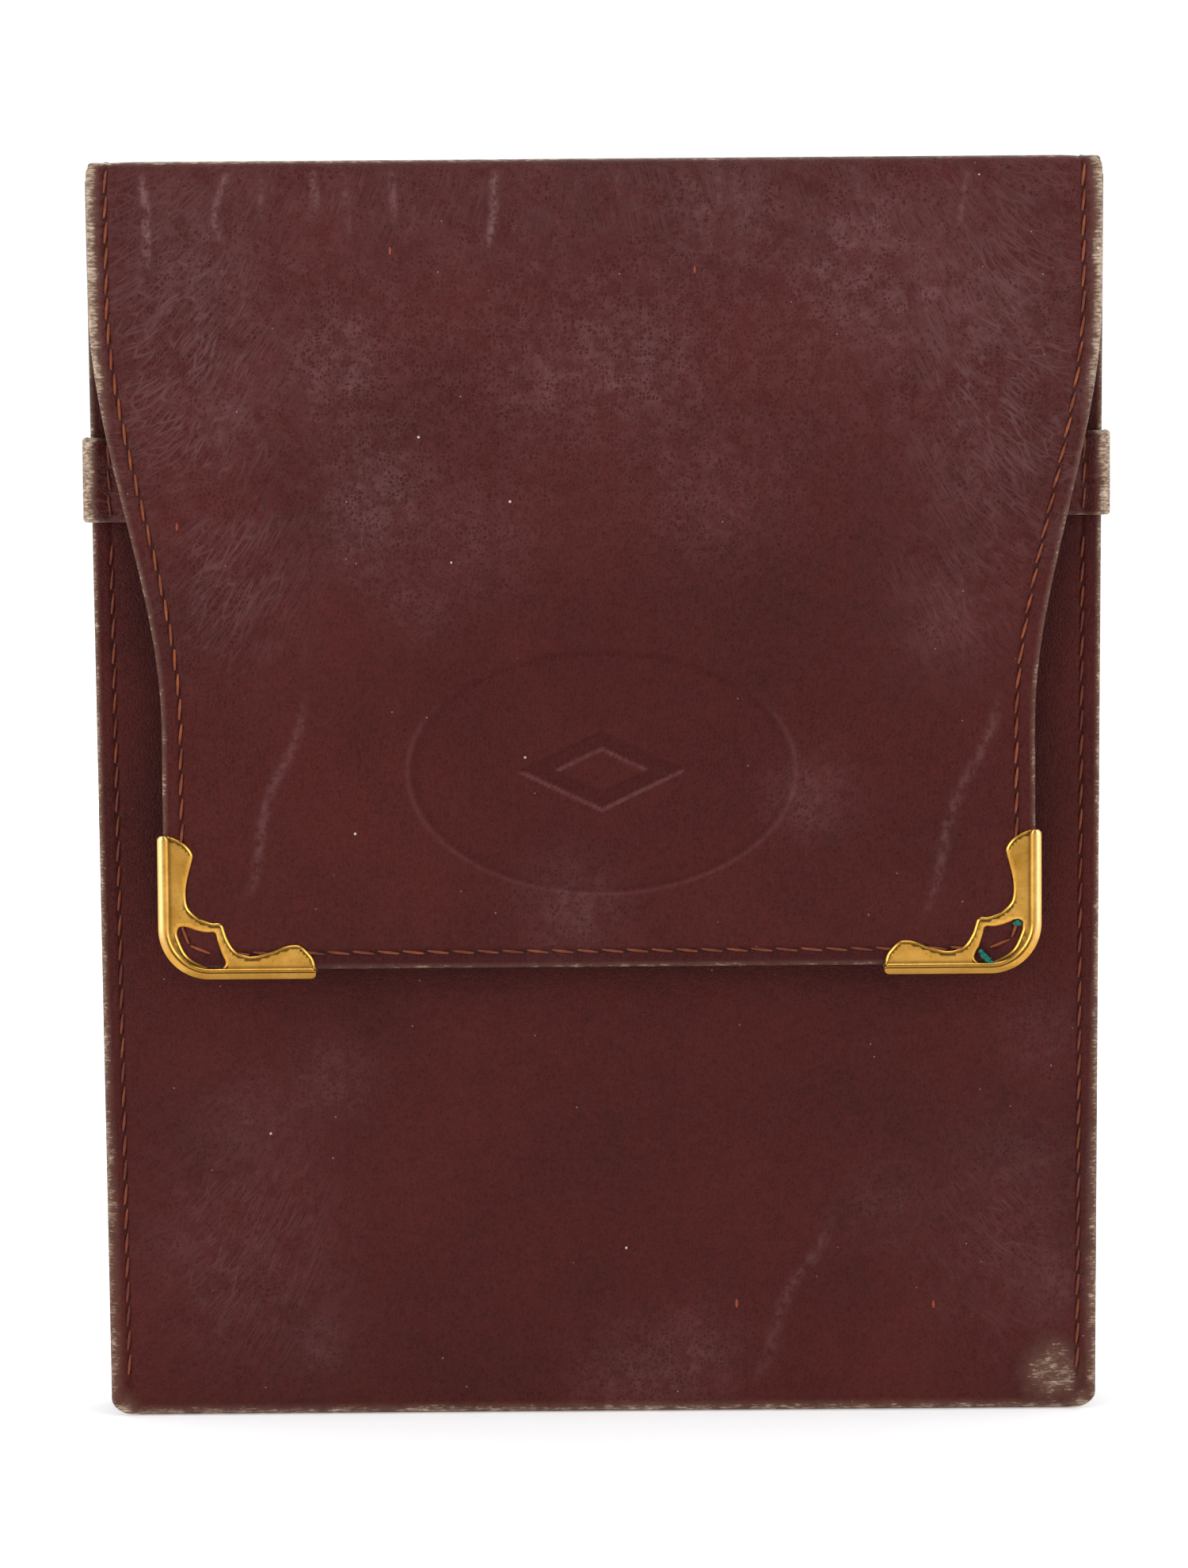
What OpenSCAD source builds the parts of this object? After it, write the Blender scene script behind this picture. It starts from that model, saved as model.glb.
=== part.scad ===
// Leather flap card holder with brass corner clips.
// It stands on its bottom edge: +Z is up, the flap hangs on the -Y side,
// and the origin is at the middle of the floor it stands on.

/* [Case] */
// Width of the case across its top
case_w = 106; // [95:1:125]
// Width of the case across its bottom
base_w = 104.2; // [94:0.2:125]
// Height of the closed case
case_h = 132; // [120:1:150]
// Rounding of the bottom corners, seen from the front
corner_r = 2; // [1:0.5:4]
// Rounding of the two long bottom edges
edge_r = 1.5; // [1.3:0.1:2.5]
// Depth left for cards between the pockets and the front panel
cavity_d = 6; // [5:0.5:12]

/* [Leather] */
// Thickness of the outer leather
cover_t = 0.9; // [0.6:0.1:1.2]
// Thickness of the stiffening boards in the front and the back
board_t = 0.6; // [0.4:0.1:1]
// Thickness of the lining in the front and the back
lining_t = 0.4; // [0.3:0.1:0.8]
// Thickness of each card pocket panel
pocket_t = 0.5; // [0.3:0.1:0.8]
// Height of the lowest pocket's edge
pocket_h = 58; // [50:1:62]
// Rise from one pocket's edge to the next
pocket_step = 20; // [12:1:22]
// How far each side gusset folds inwards
gusset_fold = 7; // [4:0.5:9]

/* [Flap] */
// Width of the flap where it leaves the top
flap_w = 105; // [94:0.5:106]
// Width of the flap's straight lower part
flap_low_w = 91; // [80:0.5:94]
// Height of the flap's lower edge above the floor
flap_low_z = 48; // [35:1:60]
// Height at which the flap starts to narrow
flap_shoulder_z = 118; // [110:1:119]
// Height at which the flap has its lower width
flap_waist_z = 73; // [70:1:90]
// Rounding of the flap's lower corners
flap_corner_r = 4.8; // [3.5:0.1:5.2]
// Thickness of the flap's board
flap_board_t = 0.7; // [0.4:0.1:1]
// Thickness of the flap's lining
flap_lining_t = 0.6; // [0.4:0.1:0.8]
// Outer radius of the two creases along the top
crease_r = 1.8; // [1.7:0.1:2.2]

/* [Keeper strap] */
// Height of the strap's lower edge
strap_z = 94.7; // [80:0.1:100]
// Width of the strap
strap_h = 8.8; // [6:0.1:12]
// Thickness of the strap
strap_t = 1.4; // [1:0.1:2]
// Gap between the strap and the front panel
strap_gap = 0.5; // [0.4:0.1:1.5]
// How far the strap stands out past each side edge
strap_out = 0.8; // [0.6:0.1:1.2]

/* [Corner clips] */
// Thickness of a clip's two cheeks
clip_t = 0.5; // [0.4:0.1:0.8]
// Metal standing outside the flap's side edge
clip_side = 0.6; // [0.5:0.1:1]
// Metal standing below the flap's lower edge
clip_under = 1; // [0.5:0.1:1.5]
// Height of the upright arm
clip_arm_h = 15.2; // [13:0.1:17]
// Length of the level arm
clip_arm_w = 16.4; // [14:0.1:18]

/* [Stitching] */
// Distance from one stitch to the next
stitch_pitch = 2.6; // [2.2:0.1:4]
// Length of a stitch
stitch_l = 2.1; // [1.2:0.1:2.3]
// Thickness of the thread across the stitch
stitch_w = 0.3; // [0.2:0.1:0.7]
// How far the thread stands above the leather
stitch_rise = 0.2; // [0.1:0.05:0.3]
// Distance from the seams to the edges
seam_inset = 2; // [1.5:0.1:3]
// Distance from the flap's lower seam to its edge
low_seam_inset = 1.7; // [1.5:0.1:3]

/* [Hidden] */
$fn = 48;
eps = 0.01;

// Gap between pieces that move past each other
clear = 0.3;
leather = [0.33, 0.14, 0.14];
lining = [0.29, 0.13, 0.12];
board = [0.62, 0.54, 0.42];
thread = [0.60, 0.29, 0.14];
brass = [0.78, 0.58, 0.18];

// Depth of each wall and of the flap
wall_t = cover_t + board_t + lining_t;
flap_t = cover_t + flap_board_t + flap_lining_t;
crease_t = cover_t + flap_lining_t;
case_d = 2 * wall_t + 3 * pocket_t + cavity_d;
total_d = case_d + strap_gap + strap_t + clear + flap_t + clip_t;

// Planes across the depth, from the back to the front
back_y = total_d / 2;
pocket_y = back_y - wall_t;
front_out_y = back_y - case_d;
front_in_y = front_out_y + wall_t;
strap_out_y = front_out_y - strap_gap - strap_t;
flap_in_y = strap_out_y - clear;
flap_out_y = flap_in_y - flap_t;

// Hairline between pieces of one wall that only meet in the real leather
hairline = 0.1;

// Heights of the parts of the top
crease_z = case_h - crease_r;
front_top_z = case_h - crease_t - clear - hairline;

// Boards stop short of the stitched edges, and of the folds at both ends
board_margin = 3.5;
board_low = 1;
board_top = 2;

// Linings and gussets stop this far from the case's side edges
lining_inset = 0.6;
lining_low = 0.2;

// Distance from the case's edge to the pockets, which end beside the gussets
pocket_inset = 5.6;
gusset_t = 0.8;
gusset_top = 1;

// Stretches at the ends of each seam that hold no stitch
seam_low = 2;
seam_top = 3;

// Rounding of the strap's front corners
strap_r = 0.7;

// Widths of a clip's arm and foot, and the web between them past its rounded corner
clip_arm = 3.4;
clip_foot = 3;
clip_web_w = 3.2;
clip_web_h = 2;
clip_cusp = [1.4, 0.4];

// Corners of a clip's window, from its outer corner
clip_hole = [[2.3, 5.6], [2.7, 3.4], [3.9, 2.2], [7, 1.6], [6, 5]];

// Steps along each curved side of the flap
flap_steps = 14;

// How far a cutting shape runs past what it cuts
over = 1;

// Half width of the case and of the flap at height z
function case_half(z) = (base_w + (case_w - base_w) * z / case_h) / 2;
function ease(t) = t <= 0 ? 0 : t >= 1 ? 1 : t * t * (3 - 2 * t);
function flap_half(z) = (flap_low_w + (flap_w - flap_low_w)
    * ease((z - flap_waist_z) / (flap_shoulder_z - flap_waist_z))) / 2;
function flap_slope(z) = flap_half(z + 0.5) - flap_half(z - 0.5);

// Extrude an outline drawn in X and Z from depth y0 to depth y1
module slab(y0, y1) {
    translate([0, y1, 0])
        rotate([90, 0, 0])
            linear_extrude(y1 - y0) children();
}

// Extrude a profile drawn in Y and Z along X
module along_x(w) {
    rotate([90, 0, 90])
        linear_extrude(w, center = true) children();
}

// The case's outline from z0 to z1, drawn in by inset at the sides
module case_outline(z0, z1, inset = 0) {
    polygon([
        [-case_half(z0) + inset, z0], [case_half(z0) - inset, z0],
        [case_half(z1) - inset, z1], [-case_half(z1) + inset, z1]
    ]);
}

// The same outline with its bottom corners rounded
module rounded_outline(z0, z1) {
    r = corner_r;
    intersection() {
        case_outline(z0, z1);
        union() {
            translate([-case_w, r]) square([2 * case_w, case_h]);
            translate([-case_half(0) + r, 0]) square([2 * case_half(0) - 2 * r, 2 * r]);
            for (side = [-1, 1])
                translate([side * (case_half(0) - r), r]) circle(r);
        }
    }
}

// The flap's outline, drawn in by inset
module flap_outline(inset = 0) {
    r = flap_corner_r - inset;
    low = flap_low_z + inset;
    half = flap_low_w / 2 - inset;
    heights = [for (i = [0 : flap_steps])
        flap_waist_z + (flap_shoulder_z - flap_waist_z) * i / flap_steps];
    right = concat([for (z = heights) [flap_half(z) - inset, z]],
        [[flap_w / 2 - inset, crease_z]]);
    left = [for (i = [len(right) - 1 : -1 : 0]) [-right[i][0], right[i][1]]];
    polygon(concat([[-half, low + r], [half, low + r]], right, left));
    translate([-half + r, low]) square([2 * half - 2 * r, r + eps]);
    for (side = [-1, 1])
        translate([side * (half - r), low + r]) circle(r);
}

// A stitch lying on the plane y, turned by slant about Y
module stitch(x, y, z, slant = 0) {
    translate([x, y, z])
        rotate([0, slant, 0])
            cube([stitch_w, stitch_rise, stitch_l], center = true);
}

// Stitches up both side edges of the case, on the plane y
module side_stitches(y) {
    first = corner_r + seam_low;
    count = floor((front_top_z - seam_top - first) / stitch_pitch);
    for (side = [-1, 1], i = [0 : count])
        stitch(side * (case_half(first + i * stitch_pitch) - seam_inset), y,
            first + i * stitch_pitch);
}

// One layer of a wall: a plain panel between two depths
module panel(y0, y1, z0, z1, inset) {
    slab(y0, y1) case_outline(z0, z1, inset);
}

// ---- Back of the case ----
module back_cover() {
    color(leather)
        slab(back_y - cover_t, back_y) rounded_outline(edge_r, crease_z);
}

// The outer leather turns under the case in one piece
module bottom_cover() {
    front_end = edge_r - clear / 2;
    color(leather)
        intersection() {
            slab(front_out_y - over, back_y + over) rounded_outline(0, edge_r);
            along_x(2 * case_w)
                difference() {
                    bottom_profile(edge_r, front_out_y, back_y, 0);
                    bottom_profile(edge_r - cover_t, front_out_y + cover_t,
                        back_y - cover_t, cover_t);
                    translate([front_out_y - over, front_end])
                        square([cover_t + 1.5 * over, edge_r]);
                }
        }
}

// Profile of the bottom: a bar with its two lower edges rounded
module bottom_profile(r, y0, y1, z) {
    translate([y0, z + r]) square([y1 - y0, edge_r]);
    translate([y0 + r, z]) square([y1 - y0 - 2 * r, r + eps]);
    for (y = [y0 + r, y1 - r])
        translate([y, z + r]) circle(r);
}

module back_board() {
    color(board)
        panel(back_y - cover_t - board_t, back_y - cover_t, edge_r + board_low,
            crease_z - board_top, board_margin);
}

module back_lining() {
    color(lining)
        panel(pocket_y, pocket_y + lining_t, edge_r + lining_low, crease_z, lining_inset);
}

module bottom_lining() {
    color(lining)
        translate([0, (front_in_y + pocket_y) / 2, cover_t + lining_t / 2])
            cube([base_w - 2 * corner_r, pocket_y - front_in_y - 2 * lining_t, lining_t],
                center = true);
}

// Pocket panels lie on the lining, the tallest one at the back
module pocket(level) {
    y1 = pocket_y - (2 - level) * pocket_t;
    color(lining)
        panel(y1 - pocket_t, y1, edge_r + board_low, pocket_h + level * pocket_step, pocket_inset);
}

module card_pocket_upper() {
    pocket(2);
}

module card_pocket_middle() {
    pocket(1);
}

module card_pocket_lower() {
    pocket(0);
}

// A strip folded inwards along its middle joins the side edges of the walls
module gusset(side) {
    edge = base_w / 2 - lining_inset;
    across = 1.6 * gusset_t;
    y0 = front_in_y + hairline;
    y1 = pocket_y;
    mid = (y0 + y1) / 2;
    top = front_top_z - gusset_top;
    bottom = cover_t + lining_t + hairline;
    color(leather)
        translate([0, 0, bottom])
            linear_extrude(top - bottom)
                polygon([
                    [side * edge, y0], [side * (edge - gusset_fold), mid], [side * edge, y1],
                    [side * (edge - across), y1],
                    [side * (edge - gusset_fold - across), mid],
                    [side * (edge - across), y0]
                ]);
}

module left_gusset() {
    gusset(-1);
}

module right_gusset() {
    gusset(1);
}

module back_stitching() {
    color(thread) side_stitches(back_y + stitch_rise / 2);
}

// ---- Front panel ----
// It turns about the lower end of its outer face.
front_low_z = edge_r + clear / 2;

module front_cover() {
    color(leather)
        slab(front_out_y, front_out_y + cover_t) rounded_outline(front_low_z, front_top_z);
}

module front_board() {
    color(board)
        panel(front_out_y + cover_t, front_out_y + cover_t + board_t,
            front_low_z + board_low, front_top_z - board_top, board_margin);
}

module front_lining() {
    color(lining)
        panel(front_in_y - lining_t, front_in_y, front_low_z + lining_low, front_top_z,
            lining_inset);
}

// A band across the front, turned round the panel's two side edges
module keeper_strap() {
    edge = case_half(strap_z + strap_h);
    half = edge + strap_out;
    r = strap_r;
    color(leather)
        translate([0, 0, strap_z])
            linear_extrude(strap_h)
                difference() {
                    union() {
                        translate([-half, strap_out_y + r])
                            square([2 * half, front_in_y - strap_out_y - r]);
                        translate([-half + r, strap_out_y])
                            square([2 * half - 2 * r, r + eps]);
                        for (side = [-1, 1])
                            translate([side * (half - r), strap_out_y + r]) circle(r);
                    }
                    translate([-edge, front_out_y - strap_gap])
                        square([2 * edge, case_d]);
                }
}

module front_stitching() {
    color(thread) side_stitches(front_out_y - stitch_rise / 2);
}

// ---- Leather across the top ----
// A quarter turn of leather at each crease, bent open as the flap lifts
module crease(y, side) {
    color(leather)
        translate([0, y, crease_z])
            along_x(flap_w)
                intersection() {
                    difference() {
                        circle(crease_r);
                        circle(crease_r - crease_t);
                    }
                    translate([side > 0 ? 0 : -crease_r, 0]) square(crease_r);
                }
}

module rear_crease() {
    crease(back_y - crease_r, 1);
}

module front_crease() {
    crease(flap_out_y + crease_r, -1);
}

// A flat bar between the two creases, from height z0 to z1
module top_bar(z0, z1) {
    y0 = flap_out_y + crease_r;
    y1 = back_y - crease_r;
    translate([-flap_w / 2, y0, z0])
        cube([flap_w, y1 - y0, z1 - z0]);
}

module top_cover() {
    color(leather) top_bar(case_h - cover_t, case_h);
}

module top_lining() {
    color(lining) top_bar(case_h - crease_t, case_h - cover_t);
}

// ---- Flap ----
module flap_cover() {
    color(leather)
        slab(flap_out_y, flap_out_y + cover_t) flap_outline();
}

module flap_board() {
    color(board)
        slab(flap_out_y + cover_t, flap_in_y - flap_lining_t)
            intersection() {
                flap_outline(board_margin);
                translate([-case_w, 0]) square([2 * case_w, crease_z - board_top]);
            }
}

module flap_lining() {
    color(lining)
        slab(flap_in_y - flap_lining_t, flap_in_y) flap_outline(lining_inset / 2);
}

module flap_stitching() {
    y = flap_out_y - stitch_rise / 2;
    first = flap_low_z + clip_arm_h;
    count = floor((crease_z - stitch_l / 2 - first) / stitch_pitch);
    heights = [for (i = [0 : count]) first + i * stitch_pitch];
    reach = flap_low_w / 2 - clip_arm_w - stitch_l / 2;
    per_side = floor(reach / stitch_pitch);
    color(thread) {
        for (side = [-1, 1], z = heights)
            stitch(side * (flap_half(z) - seam_inset), y, z, side * atan(flap_slope(z)));
        for (i = [-per_side : per_side])
            stitch(i * stitch_pitch, y, flap_low_z + low_seam_inset, 90);
    }
}

// ---- Brass corner clips ----
// Outline of one clip, with its outer corner at the origin
module clip_outline() {
    r = flap_corner_r + clip_side;
    arm_end = clip_arm_h - clip_arm / 2;
    foot_end = clip_arm_w - clip_foot / 2;
    intersection() {
        translate([r, r]) circle(r);
        square(r);
    }
    polygon([
        [0, r], [r, 0], [r + clip_web_w, 0], [r + clip_web_w, clip_foot],
        [r + clip_cusp[0], r + clip_cusp[1]], [clip_arm, r + clip_web_h], [0, r + clip_web_h]
    ]);
    translate([0, r]) square([clip_arm, arm_end - r]);
    translate([clip_arm / 2, arm_end]) circle(clip_arm / 2);
    translate([r, 0]) square([foot_end - r, clip_foot]);
    translate([foot_end, clip_foot / 2]) circle(clip_foot / 2);
}

// Three-sided window that shows the leather under the clip
module clip_window() {
    polygon(clip_hole);
}

module corner_clip(side) {
    x = side * (flap_low_w / 2 + clip_side);
    place = [x, flap_low_z - clip_under];
    color(brass)
        difference() {
            slab(flap_out_y - clip_t, flap_in_y + clip_t)
                translate(place) mirror([side > 0 ? 1 : 0, 0]) clip_outline();
            slab(flap_out_y, flap_in_y) flap_outline();
            slab(flap_out_y - 2 * clip_t, flap_out_y + eps)
                translate(place) mirror([side > 0 ? 1 : 0, 0]) clip_window();
        }
}

module left_corner_clip() {
    corner_clip(-1);
}

module right_corner_clip() {
    corner_clip(1);
}

back_cover();
bottom_cover();
back_board();
back_lining();
bottom_lining();
card_pocket_upper();
card_pocket_middle();
card_pocket_lower();
left_gusset();
right_gusset();
back_stitching();
front_cover();
front_board();
front_lining();
keeper_strap();
front_stitching();
rear_crease();
top_cover();
top_lining();
front_crease();
flap_cover();
flap_board();
flap_lining();
flap_stitching();
left_corner_clip();
right_corner_clip();
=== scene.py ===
import math
from functools import cached_property

import bmesh
import bpy
import numpy as np
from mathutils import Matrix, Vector
from mathutils.geometry import delaunay_2d_cdt


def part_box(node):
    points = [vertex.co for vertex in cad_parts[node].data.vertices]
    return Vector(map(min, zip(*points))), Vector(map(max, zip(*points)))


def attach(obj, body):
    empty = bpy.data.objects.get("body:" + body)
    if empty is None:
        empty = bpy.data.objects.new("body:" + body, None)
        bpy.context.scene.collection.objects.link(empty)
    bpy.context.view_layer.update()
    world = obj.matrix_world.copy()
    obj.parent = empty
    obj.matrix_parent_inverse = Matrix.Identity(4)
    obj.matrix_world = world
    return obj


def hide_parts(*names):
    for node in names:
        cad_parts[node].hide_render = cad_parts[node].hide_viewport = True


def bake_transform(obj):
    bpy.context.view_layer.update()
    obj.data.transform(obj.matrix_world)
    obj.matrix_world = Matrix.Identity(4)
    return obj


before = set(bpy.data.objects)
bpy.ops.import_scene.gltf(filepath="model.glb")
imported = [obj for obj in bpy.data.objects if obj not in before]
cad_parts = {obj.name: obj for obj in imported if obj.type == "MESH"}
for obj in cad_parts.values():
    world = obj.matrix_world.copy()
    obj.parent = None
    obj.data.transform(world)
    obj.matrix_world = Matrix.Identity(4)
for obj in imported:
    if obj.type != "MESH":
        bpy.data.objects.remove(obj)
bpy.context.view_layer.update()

# Looks of the leather card holder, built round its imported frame. Its lengths are in millimetres and
# become metres where a mesh is made. The studio and the camera are in metres.
MM = 0.001
PI = math.pi


def low(node):
    """Lowest corner of a CAD node in millimetres."""
    return [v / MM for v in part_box(node)[0]]


def high(node):
    """Highest corner of a CAD node in millimetres."""
    return [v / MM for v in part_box(node)[1]]


# ---- Sizes, read from the frame ----
BACK_Y = high("back_cover")[1]
POCKET_Y = low("back_lining")[1]
FRONT_Y = low("front_cover")[1]
FRONT_IN_Y = high("front_lining")[1]
FLAP_Y = low("flap_cover")[1]
TOP_Z = high("top_cover")[2]
CREASE_Z = high("back_cover")[2]
CREASE_R = TOP_Z - CREASE_Z
FRONT_TOP = high("front_cover")[2]
EDGE_R = high("bottom_cover")[2]
FLAP_LOW = low("flap_cover")[2]
STRAP_LOW, STRAP_HIGH = low("keeper_strap")[2], high("keeper_strap")[2]
STRAP_Y = low("keeper_strap")[1]
STRAP_HALF = high("keeper_strap")[0]

# ---- Sizes that the frame's boxes don't show ----
CASE_TOP_HALF, CASE_BASE_HALF = 53.0, 52.1
CASE_CORNER_R = 2.0
FLAP_TOP_HALF, FLAP_LOW_HALF = 52.5, 45.5
FLAP_SHOULDER, FLAP_WAIST = 118.0, 73.0
FLAP_CORNER_R = 4.8
COVER_T = 0.9
WALL_HEM, FLAP_HEM = 1.5, 1.6
WALL_T, FLAP_T, TOP_T = 1.9, 2.2, 1.5
SEAM, LOW_SEAM, PITCH = 2.0, 1.75, 2.6


# ---- Smooth helpers on arrays ----
def ease(t):
    t = np.clip(t, 0, 1)
    return t * t * (3 - 2 * t)


def ramp(value, start, end):
    """0 before start, 1 after end, smooth between them; start may be above end."""
    return ease((value - start) / (end - start))


def bump(value, centre, width):
    return np.exp(-(((value - centre) / width) ** 2))


def noise(x, y, scale, seed):
    """Smooth value noise between -1 and 1, repeating every 64 cells."""
    grid = np.random.default_rng(seed).uniform(-1, 1, (64, 64))
    u, v = np.broadcast_arrays(np.asarray(x, float) / scale + 900.3, np.asarray(y, float) / scale + 700.7)
    i, j = np.floor(u).astype(int), np.floor(v).astype(int)
    a, b = ease(u - i), ease(v - j)
    at = lambda di, dj: grid[(i + di) % 64, (j + dj) % 64]
    return (at(0, 0) * (1 - a) + at(1, 0) * a) * (1 - b) + (at(0, 1) * (1 - a) + at(1, 1) * a) * b


# ---- The path that the outer leather takes round the case ----
# It runs from the flap's lower edge up, over the top, down the back, under and up the front.
def line(p, direction, length, normal):
    return {"p": np.array(p), "d": np.array(direction, float), "n": np.array(normal, float), "length": length}


def turn(centre, radius, start, end):
    return {"c": np.array(centre), "r": radius, "a": (start, end), "length": abs(end - start) * radius}


PATH = [
    line((FLAP_Y, FLAP_LOW), (0, 1), CREASE_Z - FLAP_LOW, (-1, 0)),
    turn((FLAP_Y + CREASE_R, CREASE_Z), CREASE_R, PI, PI / 2),
    line((FLAP_Y + CREASE_R, TOP_Z), (1, 0), BACK_Y - FLAP_Y - 2 * CREASE_R, (0, 1)),
    turn((BACK_Y - CREASE_R, CREASE_Z), CREASE_R, PI / 2, 0),
    line((BACK_Y, CREASE_Z), (0, -1), CREASE_Z - EDGE_R, (1, 0)),
    turn((BACK_Y - EDGE_R, EDGE_R), EDGE_R, 0, -PI / 2),
    line((BACK_Y - EDGE_R, 0), (-1, 0), BACK_Y - FRONT_Y - 2 * EDGE_R, (0, -1)),
    turn((FRONT_Y + EDGE_R, EDGE_R), EDGE_R, -PI / 2, -PI),
    line((FRONT_Y, EDGE_R), (0, 1), FRONT_TOP - EDGE_R, (-1, 0)),
]
STARTS = np.concatenate([[0], np.cumsum([piece["length"] for piece in PATH])])
S_FRONT_CREASE, S_TOP, S_REAR_CREASE, S_BACK = STARTS[1:5]
S_BACK_FOOT, S_UNDER, S_FRONT_FOOT, S_FRONT, S_END = STARTS[5:10]
S_TOP_MIDDLE = (S_TOP + S_REAR_CREASE) / 2
S_BACK_MIDDLE = (S_BACK + S_BACK_FOOT) / 2


def on_path(s):
    """Point and outward normal of the path at distance s, as arrays of (y, z)."""
    s = np.atleast_1d(np.asarray(s, float))
    point, normal = np.zeros((len(s), 2)), np.zeros((len(s), 2))
    which = np.clip(np.searchsorted(STARTS, s, side="right") - 1, 0, len(PATH) - 1)
    for k, piece in enumerate(PATH):
        here = which == k
        t = s[here] - STARTS[k]
        if "p" in piece:
            point[here] = piece["p"] + t[:, None] * piece["d"]
            normal[here] = piece["n"]
        else:
            angle = piece["a"][0] + (piece["a"][1] - piece["a"][0]) * t / piece["length"]
            normal[here] = np.stack([np.cos(angle), np.sin(angle)], 1)
            point[here] = piece["c"] + piece["r"] * normal[here]
    return point, normal


def flap_half(z):
    widened = ease((z - FLAP_WAIST) / (FLAP_SHOULDER - FLAP_WAIST))
    return FLAP_LOW_HALF + (FLAP_TOP_HALF - FLAP_LOW_HALF) * widened


def flap_slope(z):
    """How much the flap's half widens over a millimetre of height."""
    return flap_half(z + 0.5) - flap_half(z - 0.5)


def case_half(z):
    return CASE_BASE_HALF + (CASE_TOP_HALF - CASE_BASE_HALF) * z / TOP_Z


def corner_cut(height, radius):
    """How much a rounded lower corner narrows the outline at a height above its foot."""
    gap = np.clip(radius - height, 0, radius)
    return radius - np.sqrt(np.maximum(radius**2 - gap**2, 0))


def at_z(s):
    """Height of the path at distances s, which may be an array of any shape."""
    return on_path(np.ravel(s))[0][:, 1].reshape(np.shape(s))


def half_width(s):
    """Half the leather's width at distances s."""
    z = at_z(s)
    flap = flap_half(z) - corner_cut(z - FLAP_LOW, FLAP_CORNER_R)
    case = case_half(z) - corner_cut(z, CASE_CORNER_R)
    rubbed = 0.7 * bump(s, S_TOP, 1.0) + 0.5 * bump(s, S_REAR_CREASE + 1, 1.2)
    over = ease((s - S_FRONT_CREASE) / (S_BACK - S_FRONT_CREASE))
    return -rubbed + np.where(s < S_BACK, flap + (case - flap) * over, case)


def edge_distance(x, s):
    """Distance in from the outline of the whole leather, for a point x across and s along."""
    x, s = np.broadcast_arrays(x, s)
    z = at_z(s)
    side_flap = (flap_half(z) - np.abs(x)) / np.sqrt(1 + flap_slope(z) ** 2)
    up = z - FLAP_LOW
    r = FLAP_CORNER_R
    corner = r - np.hypot(r - side_flap, r - up)
    flap = np.where((side_flap < r) & (up < r), corner, np.minimum(side_flap, up))
    side = half_width(s) - np.abs(x)
    rest = np.where(s > S_FRONT, np.minimum(side, S_END - s), side)
    return np.maximum(np.where(s < S_FRONT_CREASE, flap, rest), 0)


def underneath(s):
    """1 under the case, 0 on its back and front."""
    return ramp(s, S_BACK_FOOT - 3, S_UNDER) * ramp(s, S_FRONT + 3, S_FRONT_FOOT)


def hem_thickness(s):
    """Thickness of the leather's turned edge."""
    flap = ramp(s, S_FRONT_CREASE + 0.5, S_FRONT_CREASE - 4)
    wall = ramp(s, S_REAR_CREASE + 1, S_BACK + 4)
    return COVER_T + (FLAP_HEM - COVER_T) * flap + (WALL_HEM - COVER_T) * wall * (1 - underneath(s))


def stack_thickness(s):
    """Thickness of leather, board and lining together."""
    flap = ramp(s, S_FRONT_CREASE, S_FRONT_CREASE - 5)
    wall = ramp(s, S_REAR_CREASE + 1, S_BACK + 5)
    return TOP_T + (FLAP_T - TOP_T) * flap + (WALL_T - TOP_T) * wall * (1 - underneath(s))


def round_off(d, thickness):
    """How far a face drops towards mid-thickness near an edge that is rounded over."""
    r = thickness / 2
    t = np.clip(1 - d / r, 0, 1)
    return r * (1 - np.sqrt(np.maximum(1 - t * t, 0)))


# ---- Meshes ----
def added(name, data):
    """A new object in the scene."""
    obj = bpy.data.objects.new(name, data)
    bpy.context.scene.collection.objects.link(obj)
    return obj


def stands_for(obj, slot, *nodes):
    """Takes the place of CAD nodes, which it hides. The slot is not used."""
    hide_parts(*nodes)


def make_object(name, verts, faces, materials, layers=None, sharp=None, face_material=None):
    """A smooth mesh object from points in millimetres, with point attributes and sharp edges."""
    mesh = bpy.data.meshes.new(name)
    mesh.from_pydata((np.asarray(verts) * MM).tolist(), [], faces, shade_flat=False)
    for material in materials:
        mesh.materials.append(material)
    if face_material is not None:
        mesh.polygons.foreach_set("material_index", face_material)
    rest = mesh.attributes.new("rest_place", "FLOAT_VECTOR", "POINT")
    rest.data.foreach_set("vector", np.asarray(verts, np.float32).ravel())
    for key, values in (layers or {}).items():
        mesh.attributes.new(key, "FLOAT", "POINT").data.foreach_set("value", np.asarray(values, np.float32))
    if sharp is not None:
        pairs = np.zeros(len(mesh.edges) * 2, int)
        mesh.edges.foreach_get("vertices", pairs)
        both = sharp[pairs.reshape(-1, 2)].all(1)
        mesh.attributes.new("sharp_edge", "BOOLEAN", "EDGE").data.foreach_set("value", both)
    return added(name, mesh)


def quads(grid):
    """Faces between neighbours in a grid of point numbers."""
    return np.stack([grid[:-1, :-1], grid[:-1, 1:], grid[1:, 1:], grid[1:, :-1]], -1).reshape(-1, 4).tolist()


def rings(count, around, base=0):
    """Point numbers of rings of points, with each ring's first point again at its end."""
    grid = base + np.arange(count * around).reshape(count, around)
    return np.concatenate([grid, grid[:, :1]], 1)


def tube_faces(count, around, base=0):
    """Faces of a tube made of rings of points, closed at both ends."""
    grid = rings(count, around, base)
    return quads(grid) + [grid[0, -2::-1].tolist(), grid[-1, :-1].tolist()]


def spaced(start, end, step):
    count = max(2, int(round(abs(end - start) / step)) + 1)
    return np.linspace(start, end, count)


def joined(*stretches):
    """Joins rows of numbers, where each row starts with the number that the one before it ends with."""
    return np.concatenate([row[:-1] for row in stretches[:-1]] + [stretches[-1]])


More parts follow.
